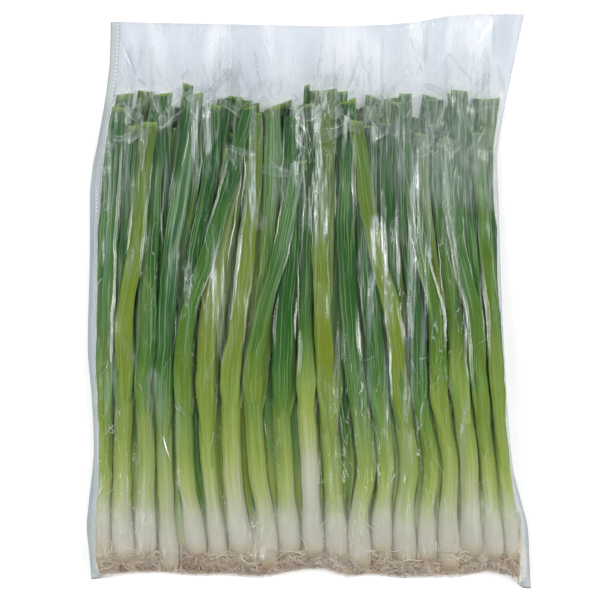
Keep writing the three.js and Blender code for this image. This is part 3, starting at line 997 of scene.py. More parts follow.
@dataclass(frozen=True)
class FloorFinish(Finish):
    """Plain matt white."""

    colour: tuple = (0.93, 0.93, 0.93)
    glow: float = 0.22

    def looks(self, shader: Shader) -> dict:
        """Works out what the surface's inputs get beyond the plain gloss.

        Args:
            shader: The material's node builder.

        Returns:
            What each of them gets.
        """
        shader.where = shader.node("ShaderNodeTexCoord").outputs["Object"]
        shade = shader.graph(shader.noise((900, 900, 900)), 0.0, 1.0, 0.985, 1.0)
        return {"Base Color": shader.colours("MULTIPLY", 1.0, self.colour, shade),
                "Emission Color": (1, 1, 1, 1), "Emission Strength": self.glow}


# ---------------------------------------------------------------- the onions
@dataclass
class SpringOnion:
    """One spring onion: bulb and stalk, hollow leaves with cut tips, and a tuft of roots.

    Sizes are in millimetres. Sides, steps and counts in pairs are for the front onions and for the back
    ones. The gaps are those on the left and on the right. Other pairs are the range of a draw.
    """

    name: str
    node: str
    plan: OnionPlan
    bunch: BunchPlan
    front: bool
    dice: np.random.Generator
    tone: float = 0.5
    green_shift: float = 0.0
    lofts: list[Loft] = field(default_factory=list)
    bulb_outline: tuple = ((-13.2, 0.20), (-12.4, 0.42), (-10.8, 0.70), (-8.0, 0.90), (-3.0, 1.0), (7.0, 1.0),
                           (16.0, 0.90), (28.0, 0.80))
    bulb_rings: tuple = (-13.4, -13.1, -12.6, -11.8, -10.6, -9.0, -6.6, -3.4)
    stalk_sides: tuple[int, int] = (26, 18)
    stalk_step: tuple[float, float] = (3.2, 5.0)
    leaf_sides: tuple[int, int] = (18, 12)
    leaf_step: tuple[float, float] = (4.2, 6.5)
    outer_leaf_step: float = 4.6
    green_from: float = 12.0
    green_over: float = 60.0
    neck_up: float = 42.0
    leaf_root: float = 14.0
    leaf_radius: float = 1.9
    tip_radius: float = 1.3
    fan: float = 3.2
    point: float = 0.02
    cut_wall: tuple = (0.88, 1.0, 0.62)
    cut_depth: float = 7.0
    cut_freshness: tuple = (0.75, 0.8, 0.6, 0.4)
    root_plate: float = 12.2
    root_gaps: tuple = (6.5, 8.5)
    root_count: tuple[int, int] = (104, 64)
    root_steps: tuple[int, int] = (11, 8)
    root_length: tuple[float, float] = (9, 27)
    root_radius: tuple[float, float] = (0.28, 0.46)
    stray_roots: tuple[int, int] = (32, 0)
    stray_length: tuple[float, float] = (6, 22)

    def pick(self, pair: tuple) -> float:
        """Chooses between a size for the front onions and one for the back onions."""
        return pair[0] if self.front else pair[1]

    def along_stations(self, stations: list[Station], y: Array) -> tuple[Array, ...]:
        """Reads the smooth place and half width of a stalk or leaf at each y."""
        return tuple(flow(self.bunch.stations, [getattr(s, key) for s in stations], y)
                     for key in ("x", "z", "half"))

    def stalk(self) -> None:
        """Lofts the bulb, the neck and the stalk, up to where the leaves have taken over."""
        plan, sides = self.plan, self.pick(self.stalk_sides)
        end = self.bunch.stations[self.bunch.parting] + 4
        y = np.concatenate([plan.bulb_y + np.array(self.bulb_rings),
                            np.arange(plan.bulb_y, end, self.pick(self.stalk_step)), [end]])
        x, z, limit = self.along_stations(plan.stations, y)
        outline = [(plan.bulb_y + up, share * plan.bulb_radius) for up, share in self.bulb_outline]
        outline += [(plan.bulb_y + self.neck_up, plan.stalk_radius), (plan.fork_y, plan.stalk_radius),
                    (end, plan.stalk_radius * 0.62)]
        radius = flow(*zip(*outline), y) * (1 + 0.03 * wander(self.dice, y, 45))
        half = np.minimum(radius, limit)
        flat = np.interp(y, [plan.fork_y - 22, plan.fork_y, end], [1.0, 0.86, 0.42])
        x = x + 0.5 * wander(self.dice, y, 130)
        turn = 2 * math.pi * (np.arange(sides) + 0.5) / sides
        lobe = 1 + 0.022 * np.sin(3 * turn + self.dice.random() * 6)
        rings = grid(x[:, None] + half[:, None] * np.cos(turn) * lobe, y[:, None],
                     z[:, None] + (half * flat)[:, None] * np.sin(turn) * lobe)
        self.add(rings, self.grown(y), Skin.FLESH, self.tone)

    def grown(self, y: Array) -> Array:
        """Gives how far along the onion each y is, for its colour.

        Args:
            y: The places.

        Returns:
            Millimetres along the onion, with its own start of the green.
        """
        up = y - self.plan.bulb_y - self.bulb_rings[0]
        share = np.clip((up - self.green_from) / self.green_over, 0, 1)
        return up + self.green_shift * share * share * (3 - 2 * share)

    def leaf(self, leaf: LeafPlan, side: float) -> None:
        """Lofts one hollow leaf, from inside the stalk to its cut tip.

        Args:
            leaf: The leaf's plan.
            side: Which way it fans out from the fork: -1 left, 1 right, 0 straight on.
        """
        low = self.bunch.stations[self.bunch.parting]
        start = self.plan.fork_y - self.leaf_root
        y = leaf.rings(start, self.pick(self.leaf_step))
        x, z, half = self.along_stations(leaf.stations, y)
        stalk_z = self.along_stations(self.plan.stations, y)[1]
        out = ease(np.clip((y - start) / (low + 6 - start), 0, 1))
        rise = np.clip((y - low) / (self.bunch.tip_y[1] - low), 0, 1)
        half = half * (1 + 0.09 * wander(self.dice, y, 70) - 0.08 * rise) * mix(0.62, 1.0, out)
        radius = mix(self.leaf_radius, self.tip_radius, rise) * (1 + 0.16 * wander(self.dice, y, 55))
        radius = radius * (1 + 0.9 * (1 - out))
        z = stalk_z + (z - stalk_z) * mix(0.35, 1.0, out)
        spread = flow([-100, -52, 8, 84], [0, 1, 1, 0], y) * self.dice.uniform(0.6, 1.2)
        x = x + 0.7 * wander(self.dice, y, 95) * out + side * self.fan * spread
        z = z + 0.35 * wander(self.dice, y, 60) * out
        greener = self.dice.normal(0, 12) * np.clip((y - start) / 60, 0, 1)
        self.leaf_skin(leaf, grid(x, y, z), half, radius, out, greener)

    def outer_leaf(self, leaf: LeafPlan) -> None:
        """Lofts a low outer leaf, which leaves the bulb's neck and runs up between two other stalks.

        Args:
            leaf: The leaf's plan.
        """
        start = self.plan.bulb_y - 7
        y = leaf.rings(start, self.outer_leaf_step)
        x, z, half = self.along_stations(leaf.stations, y)
        stalk_x, stalk_z, _ = self.along_stations(self.plan.stations, y)
        out = ease(np.clip((y - start) / 13, 0, 1))
        x = stalk_x + (x - stalk_x) * out + 0.5 * wander(self.dice, y, 80) * out
        z = stalk_z + (z - stalk_z) * out
        slim = (1 + 0.08 * wander(self.dice, y, 70)) * np.interp(y, [20, leaf.tip_y], [1.0, 0.62])
        radius = np.interp(y, [start, -120, -60, 60], [4.6, 4.0, 2.6, 1.8]) * mix(0.7, 1.0, out)
        greener = (22 + self.dice.normal(0, 14)) * np.clip((y - start) / 30, 0, 1)
        half = half * slim * mix(0.7, 1.0, out)
        self.leaf_skin(leaf, grid(x, y, z), half, radius, out, greener)

    def leaf_skin(self, leaf: LeafPlan, middle: Array, half: Array, radius: Array, out: Array,
                  greener: Array) -> None:
        """Skins one hollow leaf round its middle line.

        Args:
            leaf: The leaf's plan.
            middle: The points of its middle line.
            half: Its half width at each of them.
            radius: Its half thickness.
            out: How far it has left the stalk, from 0 to 1.
            greener: How much further along its colour is, in millimetres.
        """
        sides, y = self.pick(self.leaf_sides), middle[:, 1]
        tilt = ((0.10 * wander(self.dice, y, 120) + self.dice.normal(0, 0.05)) * out)[:, None]
        turn = 2 * math.pi * np.arange(sides) / sides
        across = np.sign(np.cos(turn)) * np.abs(np.cos(turn)) ** 0.8
        body = np.sign(np.sin(turn)) * np.abs(np.sin(turn)) ** 0.9
        fold = self.dice.uniform(-0.45, 0.45)
        dent = self.dice.uniform(0.25, 0.75) * out
        hollow = np.exp(-((across - fold) / 0.3) ** 2) * (body > 0)
        side_step = half[:, None] * across
        up_step = radius[:, None] * (body - dent[:, None] * hollow)
        rings = grid(middle[:, :1] + side_step * np.cos(tilt) - up_step * np.sin(tilt), y[:, None],
                     middle[:, 2:] + side_step * np.sin(tilt) + up_step * np.cos(tilt))
        self.cut_end(rings, leaf, self.grown(y) + greener)

    def cut_end(self, rings: Array, leaf: LeafPlan, growth: Array) -> None:
        """Cuts a leaf's tip aslant and turns its wall inwards, so that the hollow shows.

        Args:
            rings: The leaf's rings, the last one at its tip.
            leaf: The leaf's plan.
            growth: How far along the onion each ring is.
        """
        last = rings[-1]
        middle = last.mean(axis=0)
        aside = last[:, 0] - middle[0]
        last[:, 1] -= (abs(leaf.cut) * np.abs(aside).max() - leaf.cut * aside
                       + self.dice.uniform(0, 0.35, len(last)))
        rim = middle + (last - middle) * np.array(self.cut_wall)
        deep = rim - np.array([0.0, self.cut_depth, 0.0])
        end = deep.copy()
        end[:, 0] = middle[0] + (deep[:, 0] - middle[0]) * 0.1
        end[:, 2] = middle[2]
        rings = np.concatenate([rings, [rim, deep, end]])
        growth = np.pad(growth, (0, 3), mode="edge")
        cut = np.zeros(len(growth))
        cut[-4:] = self.cut_freshness
        tone = min(max(0.5 + 0.6 * (self.tone - 0.5) + self.dice.normal(0, 0.3), 0), 1)
        self.add(rings, growth, Skin.FLESH, tone, cut)

    def root_room(self, y: float) -> tuple[float, float]:
        """Gives how far left and how far right a root can lie at y."""
        return along(FilmBag.left, y) + self.root_gaps[0], along(FilmBag.right, y) - self.root_gaps[1]

    def roots(self) -> None:
        """Grows the tuft of roots from the plate under the bulb, curling along the bag's bottom."""
        dice, radius = self.dice, self.plan.bulb_radius
        base_y = self.plan.bulb_y - self.root_plate
        x0, z0, _ = (float(v[0]) for v in self.along_stations(self.plan.stations, np.array([base_y])))
        for _ in range(self.pick(self.root_count)):
            path = self.root_path(np.array([x0, base_y, z0]), self.pick(self.root_steps))
            self.root_hair(path, dice.uniform(*self.root_radius))
        for _ in range(self.pick(self.stray_roots)):
            y = base_y + dice.uniform(-3, 14) + np.linspace(0, dice.uniform(*self.stray_length), 7)
            beside = dice.choice([-1, 1]) * (radius + dice.uniform(0.1, 1.0))
            x = x0 + beside + 0.7 * wander(dice, y, 14)
            z = z0 + dice.uniform(-4.5, 2.0) + 0.6 * wander(dice, y, 18)
            x = np.clip(x, *self.root_room(base_y))
            self.root_hair(grid(x, y, z), dice.uniform(0.28, 0.42))

    def root_path(self, plate: Array, steps: int) -> Array:
        """Lets one root wander down from the plate, and along the bag's bottom once it gets there.

        Args:
            plate: The middle of the plate.
            steps: How many steps it takes.

        Returns:
            The points it passes.
        """
        dice, radius = self.dice, self.plan.bulb_radius
        turn = dice.uniform(0, 2 * math.pi)
        out = radius * dice.uniform(0.05, 0.5)
        place = np.array([plate[0] + out * math.cos(turn), plate[1] + 1.0 + out * 0.2,
                          plate[2] + out * math.sin(turn)])
        side = dice.normal(0, 0.95)
        heading = np.array([math.sin(side), -math.cos(side), 0.5 * math.sin(turn)])
        length, bend = dice.uniform(*self.root_length), dice.normal(0, 0.24)
        path = [place.copy()]
        for _ in range(steps):
            angle = bend + dice.normal(0, 0.22)
            c, s = math.cos(angle), math.sin(angle)
            heading = np.array([heading[0] * c - heading[1] * s, heading[0] * s + heading[1] * c,
                                heading[2] + dice.normal(0, 0.12)])
            place = place + heading * length / steps
            edge = along(FilmBag.bottom, place[0]) + 1.2
            room = place[1] - edge
            if room < 2.5:
                heading[1] = abs(heading[1]) * 0.25
                heading[0] += 0.4 * math.copysign(1, heading[0])
            if place[1] > plate[1] + 2:
                heading[1] = -abs(heading[1])
            place[1] = max(place[1], edge)
            left, right = self.root_room(place[1])
            place[0] = min(max(place[0], left), right)
            top = mix(7.5, plate[2] + radius + 1.0, min(max(room, 0) / 14, 1))
            low = mix(5.0, 1.6, min(max(room, 0) / 8, 1))
            place[2] = min(max(place[2], low), top)
            heading[:2] /= max(np.linalg.norm(heading[:2]), 1e-6)
            heading[2] = min(max(heading[2], -0.7), 0.7)
            path.append(place.copy())
        return np.array(path)

    def root_hair(self, path: Array, radius: float) -> None:
        """Skins one root.

        Args:
            path: The points it follows.
            radius: Its radius where it starts.
        """
        forward = unit(np.gradient(path, axis=0))
        side = unit(np.cross(forward, (0.0, 0.0, 1.0)))
        up = np.cross(side, forward)
        thick = radius * np.linspace(1.0, 0.35, len(path))
        turn = -2 * math.pi * np.arange(3) / 3
        around = np.cos(turn)[:, None] * side[:, None, :] + np.sin(turn)[:, None] * up[:, None, :]
        rings = path[:, None, :] + thick[:, None, None] * around
        self.add(rings, np.linspace(0, 20, len(path)), Skin.ROOTS, float(self.dice.random()))

    def add(self, rings: Array, growth: Array, skin: Skin, tone: float, cut: Array | None = None) -> None:
        """Keeps one tube for the onion's mesh, drawn in to a point at both ends.

        Args:
            rings: Its rings.
            growth: How far along the onion each ring is, in millimetres.
            skin: Its finish.
            tone: Its own shade, from 0, dark, to 1, light.
            cut: How much each ring is a fresh cut.
        """
        ends = rings[[0, -1]]
        middles = ends.mean(axis=1, keepdims=True)
        first, last = middles + (ends - middles) * self.point
        rings = np.concatenate([[first], rings, [last]])
        growth, cut = (np.pad(values, 1, mode="edge")
                       for values in (growth, np.zeros(len(growth)) if cut is None else cut))
        self.lofts.append(Loft(rings, growth, tone, skin, cut))

    def surface(self) -> Array:
        """Spreads points over the onion's skin, for the film to lie over.

        Returns:
            The points.
        """
        clouds = []
        for loft in self.lofts:
            for t in (0.0, 0.25, 0.5, 0.75):
                between = loft.rings[:-1] * (1 - t) + loft.rings[1:] * t
                clouds.append(between.reshape(-1, 3))
                if loft.skin is Skin.FLESH:
                    clouds.append((0.5 * (between + np.roll(between, -1, axis=1))).reshape(-1, 3))
        return np.concatenate(clouds)

    def build(self, finishes: list[bpy.types.Material]) -> bpy.types.Object:
        """Makes the onion's object and puts it in its node's place.

        Args:
            finishes: Its materials in the order of Skin.

        Returns:
            The object.
        """
        starts = np.cumsum([0] + [loft.rings.size // 3 for loft in self.lofts])
        faces = [loft.faces(start) for loft, start in zip(self.lofts, starts)]
        piece = object_from(self.name, to_frame(np.concatenate([loft.points() for loft in self.lofts])),
                            np.concatenate(faces))
        mesh = piece.data
        corners = np.concatenate([loft.around() for loft in self.lofts])
        mesh.uv_layers.new(name="skin").data.foreach_set("uv", corners.astype(np.float32).ravel())
        values = np.concatenate([loft.values() for loft in self.lofts], axis=1)
        for name, row in zip(("growth", "tone", "cut", "wax"), values):
            point_values(piece, name, row)
        for material in finishes:
            mesh.materials.append(material)
        skins = [np.full(len(part), loft.skin.value, dtype=np.int32) for part, loft in zip(faces, self.lofts)]
        mesh.polygons.foreach_set("material_index", np.concatenate(skins))
        bpy.ops.object.shade_smooth_by_angle(angle=math.radians(50))
        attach(piece, BODY)
        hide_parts(self.node)
        return piece


@dataclass
class Bunch:
    """All the onions of the bag."""

    plan: BunchPlan = field(default_factory=BunchPlan)
    onions: list[SpringOnion] = field(default_factory=list)

    def grow(self) -> None:
        """Shapes every onion from its plan."""
        dice = np.random.default_rng(2024)
        plans, back_count = self.plan.onions(), self.plan.back_count
        self.plan.add_outer_leaves(plans[:back_count], plans[back_count:], dice)
        for n, plan in enumerate(plans, start=1):
            onion = SpringOnion(f"spring_onion_{n:02d}", f"onion_{n:02d}", plan, self.plan, n > back_count,
                                dice, float(dice.random()), float(dice.normal(0, 15)))
            onion.stalk()
            first, last = n in (1, back_count + 1), n in (back_count, len(plans))
            for leaf, side in zip(plan.leaves, (0 if first else -1, 0 if last else 1, 0, 0)):
                onion.leaf(leaf, side)
            for leaf in plan.outer_leaves:
                onion.outer_leaf(leaf)
            onion.roots()
            self.onions.append(onion)

    def build(self) -> None:
        """Makes every onion's object."""
        finishes = [FleshFinish("onion_flesh", 0.42, specular=0.13).material(),
                    RootFinish("onion_roots", 0.75).material()]
        for onion in self.onions:
            report(onion.build(finishes))


# ---------------------------------------------------------------- the film bag
@dataclass
class Fold:
    """One fold pinched up in the film: the line it follows, its height, its half width and the strength of
    its painted highlight.

    A flap is a wide fold that lies flat, its painted highlight strongest along its two borders.
    """

    path: Array
    height: float
    width: float
    # Strength of the highlight painted along the fold.
    painted_glint: float
    flap: bool = False

    @staticmethod
    def bowed(start: tuple[float, float], angle: float, length: float, bow: float) -> Array:
        """Draws a line with one slight bend.

        Args:
            start: Where it starts.
            angle: Its direction, turned from +Y towards +X.
            length: How long it is.
            bow: How far its middle stands aside.

        Returns:
            Points along it.
        """
        t = np.linspace(0, 1, max(int(length / FOLD_STEP), 4) + 1)
        ahead = np.array([math.sin(angle), math.cos(angle)])
        aside = np.array([ahead[1], -ahead[0]])
        return np.array(start) + np.outer(t * length, ahead) + np.outer(bow * 4 * t * (1 - t), aside)


@dataclass(frozen=True)
class FoldKind:
    """How many small loose folds of one kind lie in the film, and the ranges of their sizes.

    Those along an edge have x counted from the bag's left edge.
    """

    count: int
    x: tuple[float, float]
    y: tuple[float, float]
    turn: float
    length: tuple[float, float]
    bow: float
    height: tuple[float, float]
    width: tuple[float, float]
    # Range of the strength of the highlight painted along each fold, raised to power.
    painted_glint: tuple[float, float]
    power: float = 2.0
    along_edge: bool = False

    def draw(self, dice: np.random.Generator) -> Fold:
        """Draws one of them.

        Args:
            dice: Where the draws come from.

        Returns:
            The fold.
        """
        if self.along_edge:
            y = dice.uniform(*self.y)
            x = along(FilmBag.left, y) + dice.uniform(*self.x)
        else:
            x, y = dice.uniform(*self.x), dice.uniform(*self.y)
        path = Fold.bowed((x, y), dice.normal(0, self.turn), dice.uniform(*self.length),
                          dice.normal(0, self.bow))
        return Fold(path, dice.uniform(*self.height), dice.uniform(*self.width),
                    dice.uniform(*self.painted_glint) ** self.power)


@dataclass
class Raster:
    """The even cells that the film is relaxed on: their x and y, by column and row and by cell."""

    cell: tuple[float, float] = (0.95, 1.5)

    def __post_init__(self) -> None:
        """Lays the cells out over the bag."""
        self.xs, self.ys = np.arange(-157, 158.5, self.cell[0]), np.arange(-203, 203, self.cell[1])
        self.px, self.py = np.meshgrid(self.xs, self.ys)

    def nearest(self, x: Array, y: Array) -> tuple[Array, Array]:
        """Finds the row and the column of the cell that each place is in.

        Args:
            x: The places across.
            y: The places along.

        Returns:
            The rows and the columns.
        """
        column, row = (np.clip(np.rint((at - lines[0]) / cell).astype(int), 0, len(lines) - 1)
                       for at, lines, cell in ((x, self.xs, self.cell[0]), (y, self.ys, self.cell[1])))
        return row, column

    def read(self, values: Array, x: Array, y: Array) -> Array:
        """Reads values between the cells.

        Args:
            values: A value for each cell.
            x: Where to read them across.
            y: Where to read them along.

        Returns:
            The values there.
        """
        fx, fy = (np.clip((at - lines[0]) / (lines[1] - lines[0]), 0, len(lines) - 1.001)
                  for at, lines in ((x, self.xs), (y, self.ys)))
        i, j = fx.astype(int), fy.astype(int)
        s, t = fx - i, fy - j
        return ((values[j, i] * (1 - s) + values[j, i + 1] * s) * (1 - t)
                + (values[j + 1, i] * (1 - s) + values[j + 1, i + 1] * s) * t)


@dataclass
class FilmBag:
    """The clear bag: a film lying over the bunch, welded along three edges and open at its mouth.

    Its edges are (place, reach) pairs in millimetres. The seams are the flat strips on the left, on the
    right and at both ends. Each profile of a fold has its places across, its lift and its painted highlight.
    """

    columns: int = 324
    rows: int = 246
    raster: Raster = field(default_factory=Raster)
    rim_height: tuple = ((-200, 8.0), (-160, 4.0), (140, 4.0), (195, 2.0))
    seams: tuple[float, float, float] = (5.6, 2.2, 0.8)
    mouth_gap: float = 1.0
    clearance: float = 0.5
    stitch: int = 3
    soft_folds: tuple[int, int] = (90, 140)
    soft_fold_height: tuple[float, float] = (0.25, 1.1)
    soft_fold_width: tuple[float, float] = (1.3, 3.6)
    low_share: float = 0.35
    leaf_fold_share: float = 0.66
    tips_from: float = 112.0
    bridge: int = 4
    floor: float = 0.35
    slack: float = 0.02
    haste: float = 1.75
    settling: int = 160
    finish: bpy.types.Material | None = None
    dice: np.random.Generator = field(default_factory=lambda: np.random.default_rng(7))
    # The third row of each profile is the painted highlight across the fold.
    fold_profile: tuple = ((-1.0, -0.42, 0.0, 0.42, 1.0), (0.0, 0.42, 1.0, 0.42, 0.0),
                           (0.0, 0.55, 1.0, 0.55, 0.0))
    flap_profile: tuple = ((-1.0, -0.88, -0.66, 0.0, 0.66, 0.88, 1.0), (0.0, 0.7, 0.85, 1.0, 0.85, 0.7, 0.0),
                           (0.0, 1.0, 0.62, 0.45, 0.62, 1.0, 0.0))
    # Each kind's last range before its power is the strength of its painted highlight.
    loose_folds: tuple = (
        FoldKind(44, (-132, 140), (132, 160), 0.35, (10, 28), 1.5, (0.3, 1.0), (0.4, 1.6), (0.0, 0.95)),
        FoldKind(60, (-142, 138), (-182, -30), 0.55, (4, 18), 1.6, (0.25, 0.8), (0.35, 0.7), (0.0, 0.8)),
        FoldKind(26, (6, 9), (-185, 150), 0.4, (5, 22), 1.5, (0.3, 0.8), (0.4, 0.8), (0.1, 0.8), 1.3, True))
    left: tuple = (
        (-193.2, -149.7), (-178, -151.1), (-155.9, -153.2), (-140.1, -151.8), (-102.1, -148.4),
        (-69, -149.7), (-32.4, -152.5), (38.6, -151.1), (69, -151.1), (92.5, -149.0), (105.6, -146.3),
        (146.3, -139.4), (166.3, -137.3), (192.9, -136.6))
    right: tuple = (
        (-199.4, 154.0), (-178, 153.2), (-160.1, 152.5), (-136.6, 147.0), (-116.6, 142.1), (-89.7, 139.4),
        (-57.3, 137.3), (-22.1, 135.2), (18.6, 133.6), (65.6, 132.2), (98, 131.0), (112, 132.4),
        (124, 134.4), (158.7, 141.5), (197.0, 149.7))
    mouth: tuple = (
        (-136.6, 192.9), (14.5, 189.8), (55.2, 190.8), (75.2, 192.9), (95.9, 196.7), (113.9, 198.2),
        (146.3, 198.2))
    bottom: tuple = (
        (-149.7, -193.2), (-139.4, -191.8), (-127.0, -189.8), (-104.9, -188.4), (-76.6, -191.1),
        (-55.9, -190.4), (-36.6, -192.5), (-26.2, -191.8), (-15.9, -189.1), (1.4, -186.3), (11.7, -186.3),
        (27.6, -192.5), (42.1, -189.8), (66.9, -192.5), (103.5, -191.8), (125.6, -187.7), (138.7, -191.8),
        (148.4, -199.0), (154.6, -199.4))

    def sides(self, y: Array) -> tuple[Array, Array]:
        """Gives the x of the bag's left and right edges at each y."""
        return flow(*zip(*self.left), y), flow(*zip(*self.right), y)

    def ends(self, x: Array) -> tuple[Array, Array]:
        """Gives the y of the bag's bottom edge and of its mouth at each x."""
        return np.interp(x, *zip(*self.bottom)), np.interp(x, *zip(*self.mouth))

    def rim(self, x: Array, y: Array) -> Array:
        """Gives the height of the bag's rim nearest to each place."""
        return np.interp(y, *zip(*self.rim_height)) + 0.4 * np.sin(x / 9 + y / 23)

    def outline(self) -> tuple[Array, Array]:
        """Spreads the film's grid between its four edges.

        Returns:
            The x and the y of each point of the grid, by row and column.
        """
        u, v = np.meshgrid(np.linspace(0, 1, self.columns + 1), np.linspace(0, 1, self.rows + 1))
        x = -150 + 300 * u
        for _ in range(6):
            low, high = self.ends(x)
            y = low + (high - low) * v
            left, right = self.sides(y)
            x = left + (right - left) * u
        return x, y

    def load_heights(self, onions: list[SpringOnion]) -> Array:
        """Finds the top of everything in the bag.

        Args:
            onions: What lies in it.

        Returns:
            The height of the load in each cell, 0 where there is none.
        """
        heights = np.zeros_like(self.raster.px)
        for onion in onions:
            x, y, z = onion.surface().T
            np.maximum.at(heights, self.raster.nearest(x, y), swell(x, y, z))
        grown = heights.copy()
        for axis, step in ((0, 1), (0, -1), (1, 1), (1, -1)):
            grown = np.maximum(grown, np.roll(heights, step, axis=axis))
        return np.where(heights > 0, heights, grown * 0.999)

    @staticmethod
    def soften(values: Array, passes: int) -> Array:
        """Averages each cell with its neighbours.

        Args:
            values: A value for each cell.
            passes: How many times they are averaged.

        Returns:
            The softer values.
        """
        for _ in range(passes):
            padded = np.pad(values, 1, mode="edge")
            values = 0.5 * values + 0.125 * (padded[:-2, 1:-1] + padded[2:, 1:-1]
                                             + padded[1:-1, :-2] + padded[1:-1, 2:])
        return values

    def drape(self, load: Array, rim: Array, inside: Array) -> Array:
        """Lets the film settle over its load, as a light membrane held at the bag's rim.

        Args:
            load: The height that it has to clear in each cell.
            rim: The height of the rim nearest to each cell.
            inside: Whether each cell is inside the rim.

        Returns:
            The height of the film.
        """
        film = np.where(inside, np.maximum(load, rim), rim)
        across, onward = (1 / cell ** 2 for cell in self.raster.cell)
        total = 2 * (across + onward)
        sag = self.slack / total
        row, column = np.indices(film.shape)
        for turn in range(2 * self.settling):
            padded = np.pad(film, 1, mode="edge")
            mean = (across * (padded[1:-1, :-2] + padded[1:-1, 2:])
                    + onward * (padded[:-2, 1:-1] + padded[2:, 1:-1])) / total
            moving = inside & ((row + column) % 2 == turn % 2)
            film = np.where(moving, np.maximum(load, film + self.haste * (mean - sag - film)), film)
        return film

    def leaf_folds(self, onions: list[SpringOnion]) -> list[Fold]:
        """Draws folds that run along the edges of the upper leaves and stand up from their tips.

        Args:
            onions: The upper onions.

        Returns:
            The folds.
        """
        made, dice = [], self.dice
        for onion, leaf, side in ((onion, leaf, side) for onion in onions for leaf in onion.plan.leaves[-2:]
                                  for side in (-1, 1)):
            if dice.random() < self.leaf_fold_share:
                length = dice.uniform(24, 110)
                start = dice.uniform(-45, max(leaf.tip_y - length * 0.7, -30))
                y = np.arange(start, min(start + length, leaf.tip_y + 4), FOLD_STEP)
                if len(y) < 5:
                    continue
                x, _, half = onion.along_stations(leaf.stations, y)
                drift = 0.9 * wander(dice, y, 60) + dice.normal(0, 0.8)
                path = np.stack([x + side * (half + 0.3) + drift, y], axis=-1)
                # The last draw is the strength of the highlight painted along the fold.
                made.append(Fold(path, dice.uniform(0.35, 1.2), dice.uniform(0.3, 1.0),
                                 dice.uniform(0.05, 1.0) ** 1.8))
            made.extend(self.tip_tents(onion, leaf, side))
        return made

    def broad_glints(self, onions: list[SpringOnion]) -> list[Fold]:
        """Draws the broad folds where the film is drawn tight along one side of an upper leaf, each painted
        as a cream highlight.

        Args:
            onions: The upper onions.

        Returns:
            The folds.
        """
        made, dice = [], self.dice
        for onion in onions:
            for _ in range(int(dice.integers(0, 3))):
                leaf, side = onion.plan.leaves[-1], float(dice.choice([-1, 1]))
                width, length = dice.uniform(0.5, 1.7), dice.uniform(30, 110)
                start = dice.uniform(-70, max(leaf.tip_y - length, -40))
                y = np.arange(start, min(start + length, leaf.tip_y - 2), FOLD_STEP)
                if len(y) < 6:
                    continue
                x, _, half = onion.along_stations(leaf.stations, y)
                aside = side * (half - width) + 0.8 * wander(dice, y, 70)
                # The last two arguments are the strength of the painted highlight and the flap.
                made.append(Fold(np.stack([x + aside, y], axis=-1), dice.uniform(0.5, 1.2), width,
                                 dice.uniform(0.35, 1.0), True))
        return made

    def tip_tents(self, onion: SpringOnion, leaf: LeafPlan, side: int) -> list[Fold]:
        """Draws the small tents that the film makes where it comes down over one corner of a cut tip.

        Args:
            onion: The onion.
            leaf: Its leaf.
            side: The corner: -1 left, 1 right.

        Returns:
            Wide flaps with a faint painted highlight, each with a narrow fold painted as a highlight along
            one edge.
        """
        x, _, half = (float(v[0]) for v in onion.along_stations(leaf.stations, np.array([leaf.tip_y])))
        made, dice = [], self.dice
        for _ in range(int(dice.integers(0, 3))):
            angle = dice.normal(0.5 * side, 0.6)
            length, wide = dice.uniform(11, 32), dice.uniform(2.0, 5.4)
            start = (x + side * half * dice.uniform(0.2, 1.0), leaf.tip_y - dice.uniform(2, 16))
            path = Fold.bowed(start, angle, length, dice.normal(0, 2.0))
            # A wide flap with a faint painted highlight.
            made.append(Fold(path, dice.uniform(0.4, 1.2), wide, dice.uniform(0.05, 0.2), True))
            aside = np.array([math.cos(angle), -math.sin(angle)]) * 0.5 * wide * dice.choice([-1, 1])
            # A narrow fold with a stronger painted highlight along one edge of the flap.
            made.append(Fold(path + aside, dice.uniform(0.5, 1.2), dice.uniform(0.3, 0.55),
                             dice.uniform(0.2, 0.95)))
        return made

    def folds(self, onions: list[SpringOnion]) -> list[Fold]:
        """Draws all the folds that are pinched up in the film.

        Args:
            onions: The bunch.

        Returns:
            Folds along leaves, in the empty header and round the stalks and bulbs.
        """
        upper = [onion for onion in onions if onion.front]
        made = self.leaf_folds(upper) + self.broad_glints(upper)
        return made + [kind.draw(self.dice) for kind in self.loose_folds for _ in range(kind.count)]

    def pinch(self, folds: list[Fold], film: Array, empty: Array) -> bpy.types.Object:
        """Makes the sharp folds, each a small ridge that rises out of the film and sinks back into it.

        Args:
            folds: The folds.
            film: The film's height on the raster.
            empty: Where nothing lies under the film, on the raster.

        Returns:
            The object that holds them all.
        """
        points, faces, painted_glints, pale = [], [], [], []
        start = 0
        for n, fold in enumerate(folds):
            # Each profile gives places across, lift and the painted highlight across the fold.
            across, lift, painted_highlight = np.array(self.flap_profile if fold.flap else self.fold_profile)
            ahead = unit(np.gradient(fold.path, axis=0))
            aside = np.stack([ahead[:, 1], -ahead[:, 0]], axis=-1)
            t = np.linspace(0, 1, len(fold.path))
            taper = np.sin(math.pi * np.clip(t, 0.001, 0.999)) ** 0.6
            width = fold.width * (0.35 + 0.65 * taper)
            tip = across + 0.35 * math.sin(2.4 * n) * lift
            place = fold.path[:, None, :] + (width[:, None] * tip)[..., None] * aside[:, None, :]
            left, right = self.sides(place[..., 1])
            x, y = np.clip(place[..., 0], left + self.seams[0], right - self.seams[1]), place[..., 1]
            z = self.raster.read(film, x, y) - 0.12 + (fold.height * taper + 0.1)[:, None] * lift
            points.append(grid(x, y, z).reshape(-1, 3))
            faces.append(corners_of(start + np.arange(x.size).reshape(x.shape)))
            uneven = np.sin(fold.path[:, 1] / 9 + n) * np.sin(fold.path[:, 1] / 23 + 2 * n)
